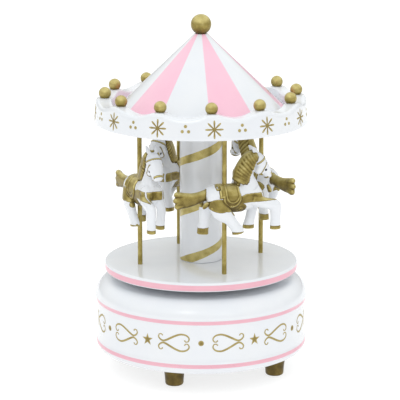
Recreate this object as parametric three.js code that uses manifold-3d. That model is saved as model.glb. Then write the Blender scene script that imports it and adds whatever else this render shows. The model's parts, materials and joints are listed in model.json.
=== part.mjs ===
// Carousel music box: a wind-up musical movement in a round base turns a four-horse carousel.
// Millimetres, +Z up. The origin is on the turning axis, at the level of the table top.
import * as THREE from 'three';
import { mergeVertices } from 'three/addons/utils/BufferGeometryUtils.js';
import Module from 'manifold-3d';

const wasm = await Module();
wasm.setup();

// ---------------------------------------------------------------- driving dimensions
const FIT = 0.3; // radial gap between a pin and its hole
const SEAT = 0.1; // gap between faces that rest on each other
const RUN = 0.5; // gap between pieces that move past each other

// base housing
const BASE_RADIUS = 52.5; // at the top lip
const WALL_RADIUS = 51.3;
const LOWER_LINE_RADIUS = 52.1;
const UNDER_RADIUS = 47.5; // where the lower curve ends
const WALL_THICKNESS = 3.3;
const HOUSING_BOTTOM = 10.6;
const BASE_HEIGHT = 36.1; // housing bottom to deck
const SHOULDER_WIDTH = 8;
const SHOULDER_HEIGHT = 8.7;
const UNDERCUT_HEIGHT = 4.3;
const DECK_THICKNESS = 3;
const RIM_THICKNESS = 1.9; // lower edge of the housing

// bottom cover, feet and their screws
const COVER_THICKNESS = 3;
const COVER_RECESS = 0.6;
const FOOT_TOP_RADIUS = 5.4;
const FOOT_BOTTOM_RADIUS = 4.5;
const FOOT_ROUND = 1;
const FOOT_CIRCLES = [33.8, 39.4]; // taken in turn
const FOOT_COUNT = 4;
const FIRST_FOOT = -22.6; // degrees from the front
const STUD_RADIUS = 1.8;
const STUD_LENGTH = 4.2;
const BOSS_RADIUS = 3.4;
const BOSS_CIRCLE = 41;
const BOSS_ANGLES = [110, 200, 290]; // degrees from +X
const SCREW_RADIUS = 1.1;
const SCREW_HEAD_RADIUS = 2.2;
const SCREW_HEAD_HEIGHT = 0.9;

// turntable and centre column
const TURNTABLE_GAP = 4.1;
const TURNTABLE_THICKNESS = 4.5;
const TURNTABLE_RADIUS = 47.6;
const TURNTABLE_ROUND = 0.7;
const HUB_RADIUS = 6;
const COLUMN_RADIUS = 10.5;
const COLUMN_HEIGHT = 71.7; // turntable top to canopy ceiling

// poles and horses
const POLE_RADIUS = 1.2;
const POLE_CIRCLE = 31.9;
const POLE_SOCKET = 2;
const FIRST_POLE = 20.5; // degrees from the front
const HORSE_YAWS = [0, 14, 34, 4]; // degrees inwards of the tangent, by pole
const HORSE_HEADROOM = 10.2; // ears to canopy ceiling
const TORSO_WIDTH = 11;
const NECK_WIDTH = 7;
const LEG_WIDTH = 4.2;
const LEG_SPREAD = 4.6; // middle of a leg from the horse's middle
const TAIL_WIDTH = 4.4;
const SADDLE_WIDTH = 12.4;
const SADDLE_RADIUS = 3.7;

// canopy
const CROWN_RADIUS = 52.2;
const CROWN_TOP_RADIUS = 51.2;
const CROWN_WALL = 7.2;
const CROWN_BOTTOM = 2.1; // rim below the ceiling's underside
const CEILING_THICKNESS = 3;
const VALLEY_HEIGHT = 9.9; // rim bottom to the lowest part of the scalloped top
const PEAK_RISE = 2.4;
const SCALLOPS = 12;
const FIRST_PEAK = 6; // degrees from the front
const SEAT_SHARE = 0.3; // flat share of each scallop
const EDGE_ROUND = 0.8;
const BALL_RADIUS = 3;
const BALL_SINK = 0.9;
const BALL_CIRCLE = 46.9;
const ROOF_RADIUS = 42;
const ROOF_TOP_RADIUS = 3.2;
const ROOF_HEIGHT = 37.7;
const ROOF_EDGE = 0.9;
const ROOF_THICKNESS = 1.6;
const FINIAL_RADIUS = 5;
const FINIAL_SINK = 0.6;

// musical movement
const GEAR_MODULE = 0.5;
const CROWN_WHEEL_TEETH = 48;
const PINION_TEETH = 16;
const TRAIN_MODULE = 0.4;
const CYLINDER_WHEEL_TEETH = 36;
const GOVERNOR_PINION_TEETH = 12;
const WORM_WHEEL_TEETH = 24;
const WORM_RADIUS = 1.5;
const WORM_DEPTH = 0.34; // how far the thread's middle stands off the worm's axis
const WORM_LENGTH = 5;
const WORM_PHASE = 0.5; // the wheel has a tooth at its axle's level, where the worm has a groove
const MESH_GAP = 0.15; // extra distance between meshing wheels
const BEDPLATE_THICKNESS = 2.4;
const BEDPLATE_LIFT = 3; // standoff height on the bottom cover
const DRUM_RADIUS = 10.3;
const DRUM_WALL = 0.9;
const DRUM_DEPTH = 9.5;
const FLANGE_THICKNESS = 1.4;
const FACE_WIDTH = 1.5;
const ARBOR_RADIUS = 2;
const SPRING_TURNS = 3.5;
const SPRING_THICKNESS = 0.5;
const SHAFT_RADIUS = 2;
const BUSH_RADIUS = 4.4;
const CYLINDER_RADIUS = 6.5;
const CYLINDER_PIN = 0.5;
const NOTES = 18;
const NOTE_PITCH = 1;
const AXLE_RADIUS = 0.9;
const FINE_AXLE_RADIUS = 0.6;
const PLATE_THICKNESS = 1.2;
const FAN_RADIUS = 4.2;
const FAN_HEIGHT = 4;
const KEY_WIDTH = 24;
const KEY_THICKNESS = 1.8;
const KEY_HUB_RADIUS = 3.4;
const TABLE_CLEARANCE = 1.5; // key above the table

// ---------------------------------------------------------------- levels and places
const DEG = Math.PI / 180;
const DECK_TOP = HOUSING_BOTTOM + BASE_HEIGHT;
const LIP_LEVEL = DECK_TOP - SHOULDER_HEIGHT;
const COVER_BOTTOM = HOUSING_BOTTOM + COVER_RECESS;
const COVER_TOP = COVER_BOTTOM + COVER_THICKNESS;
const COVER_RADIUS = UNDER_RADIUS - RIM_THICKNESS - FIT;
const TURNTABLE_BOTTOM = DECK_TOP + TURNTABLE_GAP;
const TURNTABLE_TOP = TURNTABLE_BOTTOM + TURNTABLE_THICKNESS;
const CEILING = TURNTABLE_TOP + COLUMN_HEIGHT;
const CEILING_TOP = CEILING + CEILING_THICKNESS;
const CROWN_RIM = CEILING - CROWN_BOTTOM;
const VALLEY = CROWN_RIM + VALLEY_HEIGHT;
const PEAK = VALLEY + PEAK_RISE;
const BEDPLATE_BOTTOM = COVER_TOP + BEDPLATE_LIFT;
const BEDPLATE_TOP = BEDPLATE_BOTTOM + BEDPLATE_THICKNESS;

const PITCH_RADIUS = (teeth, module) => (teeth * module) / 2;
const CROWN_WHEEL_PITCH = PITCH_RADIUS(CROWN_WHEEL_TEETH, GEAR_MODULE);
const FLANGE_RADIUS = CROWN_WHEEL_PITCH + FACE_WIDTH / 2 + 0.1;
const WHEEL_TIP = PITCH_RADIUS(CYLINDER_WHEEL_TEETH, TRAIN_MODULE) + TRAIN_MODULE;
const CYLINDER_SWEEP = CYLINDER_RADIUS + CYLINDER_PIN;
const AXLE_LEVEL = BEDPLATE_TOP + Math.max(WHEEL_TIP, CYLINDER_SWEEP) + RUN;
const CROWN_WHEEL_LEVEL = AXLE_LEVEL - PITCH_RADIUS(PINION_TEETH, GEAR_MODULE) - MESH_GAP;
const FLANGE_TOP = CROWN_WHEEL_LEVEL - 1.2 * GEAR_MODULE;
const FLANGE_BOTTOM = FLANGE_TOP - FLANGE_THICKNESS;
const DRUM_TOP = FLANGE_BOTTOM + DRUM_DEPTH;

// stations along the cylinder's axle
const BEARING_X = FLANGE_RADIUS + RUN;
const CYLINDER_X = BEARING_X + PLATE_THICKNESS + RUN;
const CYLINDER_LENGTH = NOTES * NOTE_PITCH + NOTE_PITCH;
const WHEEL_X = CYLINDER_X + CYLINDER_LENGTH + RUN;
const WHEEL_THICKNESS = 1.3;
const WORM_WHEEL_X = WHEEL_X + WHEEL_THICKNESS + RUN;
const WORM_WHEEL_THICKNESS = 1;
const FRAME_X = WORM_WHEEL_X + WORM_WHEEL_THICKNESS + RUN;
const GOVERNOR_Y = -PITCH_RADIUS(CYLINDER_WHEEL_TEETH + GOVERNOR_PINION_TEETH, TRAIN_MODULE) - MESH_GAP;
const WORM_X = WORM_WHEEL_X + WORM_WHEEL_THICKNESS / 2;
const WORM_Y = GOVERNOR_Y - PITCH_RADIUS(WORM_WHEEL_TEETH, TRAIN_MODULE) - WORM_RADIUS - MESH_GAP;
const POST_X = WHEEL_X - RUN - PLATE_THICKNESS - RUN;
const FAN_BOTTOM = AXLE_LEVEL + WORM_LENGTH / 2 + RUN;
const ARM_BOTTOM = FAN_BOTTOM + FAN_HEIGHT + RUN;
const PLATE_POSTS = [[-11, -11], [-8, 14], [24, -17]]; // movement screws, x and y

// ---------------------------------------------------------------- materials
const finish = (color, roughness, metalness) => () =>
  new THREE.MeshStandardMaterial({ color, roughness, metalness });
const WHITE = finish(0xf1f3f5, 0.25, 0);
const PINK = finish(0xf4c6d8, 0.3, 0);
const GOLD = finish(0xb09a5c, 0.45, 0.5);
const DARK_GOLD = finish(0x77672f, 0.5, 0.5);
const STEEL = finish(0xa9adb2, 0.35, 0.9);
const DARK_STEEL = finish(0x5f6368, 0.4, 0.9);
const BRASS = finish(0xc9a24c, 0.35, 0.9);
const GREY_PLASTIC = finish(0x9a9c9e, 0.6, 0);
const NYLON = finish(0xe7e2d2, 0.5, 0);

// ---------------------------------------------------------------- shape helpers
const part = new THREE.Group();

function weld(geometry) {
  const bare = geometry.clone();
  bare.deleteAttribute('normal');
  bare.deleteAttribute('uv');
  return mergeVertices(bare, 1e-4);
}

function toSolid(geometry, matrix = new THREE.Matrix4()) {
  const welded = weld(geometry.clone().applyMatrix4(matrix));
  return new wasm.Manifold(new wasm.Mesh({
    numProp: 3,
    vertProperties: new Float32Array(welded.attributes.position.array),
    triVerts: new Uint32Array(welded.index.array),
  }));
}

function fromSolid(solid) {
  const mesh = solid.getMesh();
  const geometry = new THREE.BufferGeometry();
  geometry.setAttribute('position', new THREE.BufferAttribute(new Float32Array(mesh.vertProperties), 3));
  geometry.setIndex(new THREE.BufferAttribute(new Uint32Array(mesh.triVerts), 1));
  geometry.computeVertexNormals();
  return geometry;
}

const at = (x, y, z) => new THREE.Matrix4().makeTranslation(x, y, z);
const turned = (degrees) => new THREE.Matrix4().makeRotationZ(degrees * DEG);

// Where a bearing, in degrees from the front towards +X, meets a circle about the axis.
const around = (radius, bearing) => [
  radius * Math.sin(bearing * DEG),
  -radius * Math.cos(bearing * DEG),
];

// A profile of [radius, height] pairs turned about +Z.
function lathe(profile, segments, start = 0) {
  const points = profile.map(([radius, height]) => new THREE.Vector2(radius, height));
  const geometry = new THREE.LatheGeometry(points, segments, start * DEG);
  geometry.rotateX(Math.PI / 2);
  return geometry;
}

// Profile from the bottom outwards and up; a closed ring repeats its first point.
const ring = (inner, outer, bottom, top, segments) => lathe(
  [[inner, bottom], [outer, bottom], [outer, top], [inner, top], [inner, bottom]],
  segments,
);

const disc = (radius, bottom, top, segments) => lathe(
  [[0, bottom], [radius, bottom], [radius, top], [0, top]],
  segments,
);

function box(x0, x1, y0, y1, z0, z1) {
  const geometry = new THREE.BoxGeometry(x1 - x0, y1 - y0, z1 - z0);
  return geometry.translate((x0 + x1) / 2, (y0 + y1) / 2, (z0 + z1) / 2);
}

function outline(points) {
  return new THREE.Shape(points.map(([x, y]) => new THREE.Vector2(x, y)));
}

function slab(shape, depth) {
  return new THREE.ExtrudeGeometry(shape, { depth, bevelEnabled: false, curveSegments: 6 });
}

// Turns a slab drawn in (along, up) upright: drawn x stays +X, drawn y becomes +Z.
const upright = (geometry, middle, depth) =>
  geometry.rotateX(Math.PI / 2).translate(0, middle + depth / 2, 0);

// Turns a slab or disc built about +Z so that it lies along +X; drawn x becomes +Y.
const alongX = (geometry) => geometry.applyMatrix4(
  new THREE.Matrix4().makeBasis(
    new THREE.Vector3(0, 1, 0),
    new THREE.Vector3(0, 0, 1),
    new THREE.Vector3(1, 0, 0),
  ),
);

// Spur wheel outline: slim teeth leave backlash for a free-running train.
function gearOutline(teeth, module, phase = 0) {
  const pitch = PITCH_RADIUS(teeth, module);
  const tip = pitch + 0.85 * module;
  const root = pitch - 1.2 * module;
  const step = (2 * Math.PI) / teeth;
  const points = [];
  for (let tooth = 0; tooth < teeth; tooth += 1) {
    const middle = (tooth + phase) * step;
    for (const [share, radius] of [[-0.3, root], [-0.1, tip], [0.1, tip], [0.3, root]]) {
      const angle = middle + share * step;
      points.push([radius * Math.cos(angle), radius * Math.sin(angle)]);
    }
  }
  return outline(points);
}

function bore(shape, radius) {
  const hole = new THREE.Path();
  hole.absarc(0, 0, radius, 0, 2 * Math.PI, true);
  shape.holes.push(hole);
  return shape;
}

function arc(centreX, centreY, radiusX, radiusY, from, to, steps) {
  const points = [];
  for (let step = 0; step <= steps; step += 1) {
    const angle = (from + ((to - from) * step) / steps) * DEG;
    points.push([centreX + radiusX * Math.cos(angle), centreY + radiusY * Math.sin(angle)]);
  }
  return points;
}

const cut = (solid, tools) => tools.reduce((left, tool) => left.subtract(toSolid(tool)), solid);
const join = (pieces) => pieces.map((piece) => toSolid(piece)).reduce((all, piece) => all.add(piece));

function place(name, geometry, material, parent = part) {
  const mesh = new THREE.Mesh(geometry, material());
  mesh.name = name;
  parent.add(mesh);
  return mesh;
}

// ---------------------------------------------------------------- base
const bossPlaces = BOSS_ANGLES.map((angle) => [
  BOSS_CIRCLE * Math.cos(angle * DEG),
  BOSS_CIRCLE * Math.sin(angle * DEG),
]);
const footPlaces = Array.from({ length: FOOT_COUNT }, (unused, index) =>
  around(FOOT_CIRCLES[index % FOOT_CIRCLES.length], FIRST_FOOT + (360 * index) / FOOT_COUNT));
const COVER_SCREW_LENGTH = 8;

function baseHousing() {
  const bushHole = BUSH_RADIUS + FIT;
  const innerRadius = WALL_RADIUS - WALL_THICKNESS;
  const underside = DECK_TOP - DECK_THICKNESS;
  const lineLevel = HOUSING_BOTTOM + UNDERCUT_HEIGHT;
  const shoulderRadius = BASE_RADIUS - SHOULDER_WIDTH;
  const profile = [
    [UNDER_RADIUS - RIM_THICKNESS, HOUSING_BOTTOM],
    ...arc(UNDER_RADIUS, lineLevel, LOWER_LINE_RADIUS - UNDER_RADIUS, UNDERCUT_HEIGHT, -90, 0, 3),
    [WALL_RADIUS, lineLevel + 2.2],
    [WALL_RADIUS, LIP_LEVEL - 4],
    ...arc(shoulderRadius, LIP_LEVEL, SHOULDER_WIDTH, SHOULDER_HEIGHT, 0, 90, 5),
    [bushHole, DECK_TOP],
    [bushHole, underside],
    [innerRadius, underside],
    [innerRadius, COVER_TOP + 3],
    [UNDER_RADIUS - RIM_THICKNESS, COVER_TOP],
    [UNDER_RADIUS - RIM_THICKNESS, HOUSING_BOTTOM],
  ];
  const bosses = bossPlaces.map(([x, y]) =>
    disc(BOSS_RADIUS, COVER_TOP + SEAT, underside + DECK_THICKNESS / 2, 10).translate(x, y, 0));
  const holes = bossPlaces.map(([x, y]) =>
    disc(SCREW_RADIUS + FIT, COVER_TOP - 1, COVER_TOP + COVER_SCREW_LENGTH, 8).translate(x, y, 0));
  return fromSolid(cut(join([lathe(profile, 40), ...bosses]), holes));
}

function bottomCover() {
  const plate = ring(KEY_HUB_RADIUS + RUN, COVER_RADIUS, COVER_BOTTOM, COVER_TOP, 40);
  const standoffs = PLATE_POSTS.map(([x, y]) =>
    disc(BOSS_RADIUS, COVER_BOTTOM + 0.5, BEDPLATE_BOTTOM - SEAT, 10).translate(x, y, 0));
  const drill = (radius) => ([x, y]) =>
    disc(radius, COVER_BOTTOM - 1, BEDPLATE_TOP, 8).translate(x, y, 0);
  return fromSolid(cut(join([plate, ...standoffs]), [
    ...footPlaces.map(drill(STUD_RADIUS + FIT)),
    ...bossPlaces.map(drill(SCREW_RADIUS + FIT)),
    ...PLATE_POSTS.map(drill(SCREW_RADIUS + FIT)),
  ]));
}

function foot() {
  const top = COVER_BOTTOM - SEAT;
  return lathe([
    [0, 0],
    [FOOT_BOTTOM_RADIUS - FOOT_ROUND, 0],
    [FOOT_BOTTOM_RADIUS, FOOT_ROUND],
    [FOOT_TOP_RADIUS, top],
    [STUD_RADIUS, top],
    [STUD_RADIUS, top + STUD_LENGTH],
    [0, top + STUD_LENGTH],
  ], 16);
}

// A pan-head screw driven upwards; its head's upper face is at level 0.
function screw(length) {
  return lathe([
    [0, -SCREW_HEAD_HEIGHT],
    [SCREW_HEAD_RADIUS * 0.8, -SCREW_HEAD_HEIGHT],
    [SCREW_HEAD_RADIUS, -SCREW_HEAD_HEIGHT * 0.4],
    [SCREW_HEAD_RADIUS, 0],
    [SCREW_RADIUS, 0],
    [SCREW_RADIUS, length],
    [0, length],
  ], 8);
}

function deckBush() {
  const flange = BUSH_RADIUS + 1.6;
  const bottom = DECK_TOP - DECK_THICKNESS - 1;
  const top = DECK_TOP + SEAT;
  const inner = SHAFT_RADIUS + FIT;
  return lathe([
    [inner, bottom],
    [BUSH_RADIUS, bottom],
    [BUSH_RADIUS, top],
    [flange, top],
    [flange, top + 0.8],
    [inner, top + 0.8],
    [inner, bottom],
  ], 20);
}

place('base_housing', baseHousing(), WHITE);
place('bottom_cover', bottomCover(), GREY_PLASTIC);
footPlaces.forEach(([x, y], index) => {
  place(`foot_${index + 1}`, foot(), DARK_GOLD).position.set(x, y, 0);
});
bossPlaces.forEach(([x, y], index) => {
  const length = COVER_THICKNESS + COVER_SCREW_LENGTH - 1.5;
  place(`cover_screw_${index + 1}`, screw(length), STEEL).position.set(x, y, COVER_BOTTOM - SEAT);
});
place('deck_bush', deckBush(), NYLON);

// ---------------------------------------------------------------- turntable, column and poles
const polePlaces = Array.from({ length: HORSE_YAWS.length }, (unused, index) =>
  ({ bearing: FIRST_POLE + (360 * index) / HORSE_YAWS.length }));
polePlaces.forEach((pole) => {
  [pole.x, pole.y] = around(POLE_CIRCLE, pole.bearing);
});
const SHAFT_TOP = TURNTABLE_TOP + 4;

function turntable() {
  const hole = SHAFT_RADIUS + FIT;
  const edge = TURNTABLE_RADIUS - TURNTABLE_ROUND;
  const plate = lathe([
    [hole, TURNTABLE_BOTTOM],
    [edge, TURNTABLE_BOTTOM],
    [TURNTABLE_RADIUS, TURNTABLE_BOTTOM + TURNTABLE_ROUND],
    [TURNTABLE_RADIUS, TURNTABLE_TOP - TURNTABLE_ROUND],
    [edge, TURNTABLE_TOP],
    [hole, TURNTABLE_TOP],
    [hole, TURNTABLE_BOTTOM],
  ], 40);
  const sockets = polePlaces.map(({ x, y }) =>
    disc(POLE_RADIUS + FIT, TURNTABLE_TOP - POLE_SOCKET, TURNTABLE_TOP + 1, 10).translate(x, y, 0));
  return fromSolid(cut(toSolid(plate), sockets));
}

function column() {
  const hole = SHAFT_RADIUS + FIT;
  return lathe([
    [hole, TURNTABLE_TOP + SEAT],
    [COLUMN_RADIUS, TURNTABLE_TOP + SEAT],
    [COLUMN_RADIUS, CEILING - SEAT],
    [0, CEILING - SEAT],
    [0, SHAFT_TOP + 1],
    [hole, SHAFT_TOP + 1],
    [hole, TURNTABLE_TOP + SEAT],
  ], 24);
}

place('turntable', turntable(), WHITE);
place('turntable_hub', ring(
  SHAFT_RADIUS + FIT,
  HUB_RADIUS,
  DECK_TOP + SEAT + 0.8 + RUN,
  TURNTABLE_BOTTOM - SEAT,
  20,
), NYLON);
place('column', column(), WHITE);
polePlaces.forEach(({ x, y }, index) => {
  const bottom = TURNTABLE_TOP - POLE_SOCKET + SEAT;
  const top = CEILING + POLE_SOCKET - SEAT;
  place(`pole_${index + 1}`, disc(POLE_RADIUS, bottom, top, 10), GOLD).position.set(x, y, 0);
});

// ---------------------------------------------------------------- horses
// Outlines in the horse's own middle plane: forwards of the pole, above its own foot level.
const TORSO = [
  [17.5, 33.5], [19, 38], [16.9, 42], [12, 45], [6, 44.5], [-5, 44.6],
  [-9, 42], [-9.7, 37], [-6, 31.5], [0, 30.2], [11, 30.4],
];
const NECK_AND_HEAD = [
  [16.9, 41.5], [15.6, 47], [17.3, 48.1], [21.7, 45.6], [24.9, 47.8], [20.8, 53.9],
  [17.8, 58.3], [14.8, 61.5], [13.5, 58.9], [10, 56.5], [7.4, 53.5], [5.5, 50],
  [4.6, 47.2], [4, 42], [12, 38],
];
const RIGHT_FRONT_LEG = [
  [12, 37], [14, 31.8], [19.5, 31.4], [21.6, 29.6], [22.1, 25], [21.8, 21.4],
  [27.4, 21.4], [27.2, 33.5], [25.8, 36.2], [20, 37.8], [16, 39],
];
const LEFT_FRONT_LEG = [
  [10, 34], [14.2, 30], [13.2, 25], [11.2, 21.8], [11.4, 20.6],
  [17.2, 20.6], [17.4, 24], [18.6, 29], [18, 35],
];
const RIGHT_HIND_LEG = [
  [-9, 39], [-8.5, 32.5], [-4, 28.6], [-0.6, 26.2], [0.2, 24], [2.4, 20.8],
  [8.2, 20.8], [7.8, 22], [5.4, 24.5], [3.6, 28.5], [2.6, 32], [-1, 38],
];
const LEFT_HIND_LEG = [
  [-9.6, 38], [-11.4, 33], [-11.2, 27], [-11.2, 23], [-12.4, 22.8], [-12.4, 19.6],
  [-6.4, 19.6], [-6.4, 23], [-5.8, 27], [-4, 31], [-1, 34], [-3, 39],
];
const TAIL = [
  [-8, 43], [-9.3, 42.2], [-16.6, 40.8], [-24, 42.4], [-26.2, 38.4], [-24, 34.4],
  [-21, 34.4], [-16.6, 34.9], [-9.3, 37.1], [-8, 36],
];
const SADDLE_CENTRE = [4, 38.6];
const HORSE_TOP = Math.max(...NECK_AND_HEAD.map(([, height]) => height));
const HORSE_LEVEL = CEILING - HORSE_HEADROOM - HORSE_TOP; // horses hang from the canopy

function softSlab(points, width, bevel) {
  const geometry = new THREE.ExtrudeGeometry(outline(points), {
    depth: width - 2 * bevel,
    bevelEnabled: true,
    bevelThickness: bevel,
    bevelSize: bevel,
    bevelOffset: -bevel,
    bevelSegments: 1,
  });
  return upright(geometry, 0, width - 2 * bevel);
}

function horse() {
  const leg = (points, side) => upright(slab(outline(points), LEG_WIDTH), side * LEG_SPREAD, LEG_WIDTH);
  const saddle = upright(disc(SADDLE_RADIUS, 0, SADDLE_WIDTH, 12), 0, SADDLE_WIDTH)
    .translate(SADDLE_CENTRE[0], 0, SADDLE_CENTRE[1]);
  const body = join([
    softSlab(TORSO, TORSO_WIDTH, 1.2),
    softSlab(NECK_AND_HEAD, NECK_WIDTH, 0.8),
    leg(RIGHT_FRONT_LEG, -1),
    leg(LEFT_FRONT_LEG, 1),
    leg(RIGHT_HIND_LEG, -1),
    leg(LEFT_HIND_LEG, 1),
    softSlab(TAIL, TAIL_WIDTH, 0.8),
    saddle,
  ]);
  return fromSolid(cut(body, [disc(POLE_RADIUS + FIT, 0, HORSE_TOP, 10)]));
}

polePlaces.forEach(({ x, y, bearing }, index) => {
  const mesh = place(`horse_${index + 1}`, horse(), WHITE);
  mesh.position.set(x, y, HORSE_LEVEL);
  mesh.rotation.z = (bearing + HORSE_YAWS[index]) * DEG;
});

// ---------------------------------------------------------------- canopy
// Height of the scalloped edge above its valleys at a bearing from the front.
function scallopRise(bearing) {
  const pitch = 360 / SCALLOPS;
  const offset = (((bearing - FIRST_PEAK) % pitch) + pitch) % pitch;
  const share = Math.min(offset, pitch - offset) / (pitch / 2);
  return PEAK_RISE * Math.min(1, ((1 - share) / (1 - SEAT_SHARE)) ** 2);
}

function canopyCrown() {
  const innerRadius = CROWN_TOP_RADIUS - CROWN_WALL;
  const skirt = CROWN_RADIUS - 3.2;
  const geometry = lathe([
    [0, CEILING],
    [skirt, CEILING],
    [skirt, CROWN_RIM],
    [CROWN_RADIUS - 0.6, CROWN_RIM],
    [CROWN_RADIUS, CROWN_RIM + 0.6],
    [CROWN_TOP_RADIUS, VALLEY - EDGE_ROUND],
    [CROWN_TOP_RADIUS - EDGE_ROUND, VALLEY],
    [innerRadius + EDGE_ROUND, VALLEY],
    [innerRadius, VALLEY - EDGE_ROUND],
    [innerRadius, CEILING_TOP],
    [0, CEILING_TOP],
  ], SCALLOPS * 6, FIRST_PEAK);
  const position = geometry.attributes.position;
  for (let index = 0; index < position.count; index += 1) {
    const z = position.getZ(index);
    if (z > VALLEY - EDGE_ROUND - 0.01) {
      const bearing = Math.atan2(position.getX(index), -position.getY(index)) / DEG;
      position.setZ(index, z + scallopRise(bearing));
    }
  }
  const sockets = polePlaces.map(({ x, y }) =>
    disc(POLE_RADIUS + FIT, CEILING - 1, CEILING + POLE_SOCKET, 10).translate(x, y, 0));
  return fromSolid(cut(toSolid(geometry), sockets));
}

function canopyRoof() {
  const bottom = CEILING_TOP + SEAT;
  const top = bottom + ROOF_HEIGHT;
  return lathe([
    [0, top - 2 * ROOF_THICKNESS],
    [ROOF_RADIUS - ROOF_THICKNESS, bottom],
    [ROOF_RADIUS, bottom],
    [ROOF_RADIUS, bottom + ROOF_EDGE],
    [ROOF_TOP_RADIUS, top],
    [0, top],
  ], 48, FIRST_PEAK);
}

// A ball with a flat seat, sink below its full round.
function seatedBall(radius, sink, segments, steps) {
  const seatAngle = -Math.acos(Math.sqrt(radius ** 2 - (radius - sink) ** 2) / radius) / DEG;
  return lathe([
    [0, 0],
    ...arc(0, radius - sink, radius, radius, seatAngle, 90, steps).slice(0, -1),
    [0, 2 * radius - sink],
  ], segments);
}

place('canopy_crown', canopyCrown(), WHITE);
place('canopy_roof', canopyRoof(), PINK);
for (let index = 0; index < SCALLOPS; index += 1) {
  const [x, y] = around(BALL_CIRCLE, FIRST_PEAK + (360 * index) / SCALLOPS);
  const ball = place(`crown_ball_${index + 1}`, seatedBall(BALL_RADIUS, BALL_SINK, 8, 4), GOLD);
  ball.position.set(x, y, PEAK + SEAT);
}
const finial = place('finial_ball', seatedBall(FINIAL_RADIUS, FINIAL_SINK, 14, 6), GOLD);
finial.position.z = CEILING_TOP + ROOF_HEIGHT + 2 * SEAT;

// ---------------------------------------------------------------- movement: barrel and winding
function springBarrel() {
  const innerRadius = DRUM_RADIUS - DRUM_WALL;
  const hole = ARBOR_RADIUS + FIT;
  const drum = lathe([
    [hole, FLANGE_BOTTOM],
    [FLANGE_RADIUS, FLANGE_BOTTOM],
    [FLANGE_RADIUS, FLANGE_TOP],
    [DRUM_RADIUS, FLANGE_TOP],
    [DRUM_RADIUS, DRUM_TOP],
    [innerRadius, DRUM_TOP],
    [innerRadius, FLANGE_BOTTOM + 1.2],
    [hole, FLANGE_BOTTOM + 1.2],
    [hole, FLANGE_BOTTOM],
  ], 32);
  const pitch = Math.PI * GEAR_MODULE;
  const root = -0.3;
  const tip = 2.05 * GEAR_MODULE;
  const tooth = alongX(slab(outline([
    [-0.32 * pitch, root],
    [0.32 * pitch, root],
    [0.1 * pitch, tip],
    [-0.1 * pitch, tip],
  ]), FACE_WIDTH));
  tooth.translate(CROWN_WHEEL_PITCH - FACE_WIDTH / 2, 0, FLANGE_TOP);
  const teeth = Array.from({ length: CROWN_WHEEL_TEETH }, (unused, index) =>
    toSolid(tooth, turned((360 * index) / CROWN_WHEEL_TEETH)));
  return fromSolid(teeth.reduce((all, one) => all.add(one), toSolid(drum)));
}

function driveShaft() {
  const bottom = DRUM_TOP + SEAT;
  return lathe([
    [0, bottom],
    [DRUM_RADIUS, bottom],
    [DRUM_RADIUS, bottom + 1.2],
    [SHAFT_RADIUS + 1.6, bottom + 1.2],
    [SHAFT_RADIUS + 1.6, bottom + 3],
    [SHAFT_RADIUS, bottom + 3],
    [SHAFT_RADIUS, SHAFT_TOP],
    [0, SHAFT_TOP],
  ], 20);
}

function mainspring() {
  const inner = ARBOR_RADIUS + FIT + SPRING_THICKNESS / 2;
  const outer = DRUM_RADIUS - DRUM_WALL - FIT - SPRING_THICKNESS / 2;
  const steps = Math.round(SPRING_TURNS * 14);
  const side = (offset) => Array.from({ length: steps + 1 }, (unused, step) => {
    const angle = (2 * Math.PI * SPRING_TURNS * step) / steps;
    const radius = inner + ((outer - inner) * step) / steps + offset;
    return [radius * Math.cos(angle), radius * Math.sin(angle)];
  });
  const strip = [...side(SPRING_THICKNESS / 2), ...side(-SPRING_THICKNESS / 2).reverse()];
  const bottom = FLANGE_BOTTOM + 1.2 + FIT;
  return slab(outline(strip), DRUM_TOP - FIT - bottom).translate(0, 0, bottom);
}

const KEY_TOP = COVER_BOTTOM - RUN;
const KEY_BORE_BOTTOM = TABLE_CLEARANCE + 2.5;

function windingKey() {
  const wing = (side) => {
    const reach = side * (KEY_WIDTH / 2);
    return outline([
      [side * 1.2, TABLE_CLEARANCE + 2.8],
      [reach - side * 3, TABLE_CLEARANCE],
      [reach - side * 0.8, TABLE_CLEARANCE + 1],
      [reach, TABLE_CLEARANCE + 3.4],
      [reach - side * 0.8, TABLE_CLEARANCE + 5.8],
      [reach - side * 3, TABLE_CLEARANCE + 6.8],
      [side * 1.2, TABLE_CLEARANCE + 4.6],
    ]);
  };
  const body = join([
    disc(KEY_HUB_RADIUS, TABLE_CLEARANCE + 1, KEY_TOP, 16),
    upright(slab(wing(1), KEY_THICKNESS), 0, KEY_THICKNESS),
    upright(slab(wing(-1), KEY_THICKNESS), 0, KEY_THICKNESS),
  ]);
  return fromSolid(cut(body, [disc(ARBOR_RADIUS + FIT, KEY_BORE_BOTTOM, KEY_TOP + 1, 12)]));
}

place('spring_barrel', springBarrel(), BRASS);
place('drive_shaft', driveShaft(), STEEL);
place('mainspring', mainspring(), DARK_STEEL);
place('winding_key', windingKey(), STEEL);
place('winding_arbor', disc(ARBOR_RADIUS, KEY_BORE_BOTTOM + SEAT, DRUM_TOP - RUN, 12), STEEL);

// ---------------------------------------------------------------- movement: bedplate and bearings
const COMB_THICKNESS = 1.2;
const COMB_TIP_Y = CYLINDER_SWEEP + 0.35;
const COMB_ROOT_Y = COMB_TIP_Y + 10.5;
const COMB_BACK_Y = COMB_ROOT_Y + 7.5;
const COMB_X0 = CYLINDER_X + NOTE_PITCH / 2;
const COMB_X1 = COMB_X0 + NOTES * NOTE_PITCH;
const combScrews = [COMB_X0 + 4, COMB_X1 - 4].map((x) => [x, (COMB_ROOT_Y + COMB_BACK_Y) / 2]);
const COMB_SCREW_DEPTH = 3;

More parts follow.
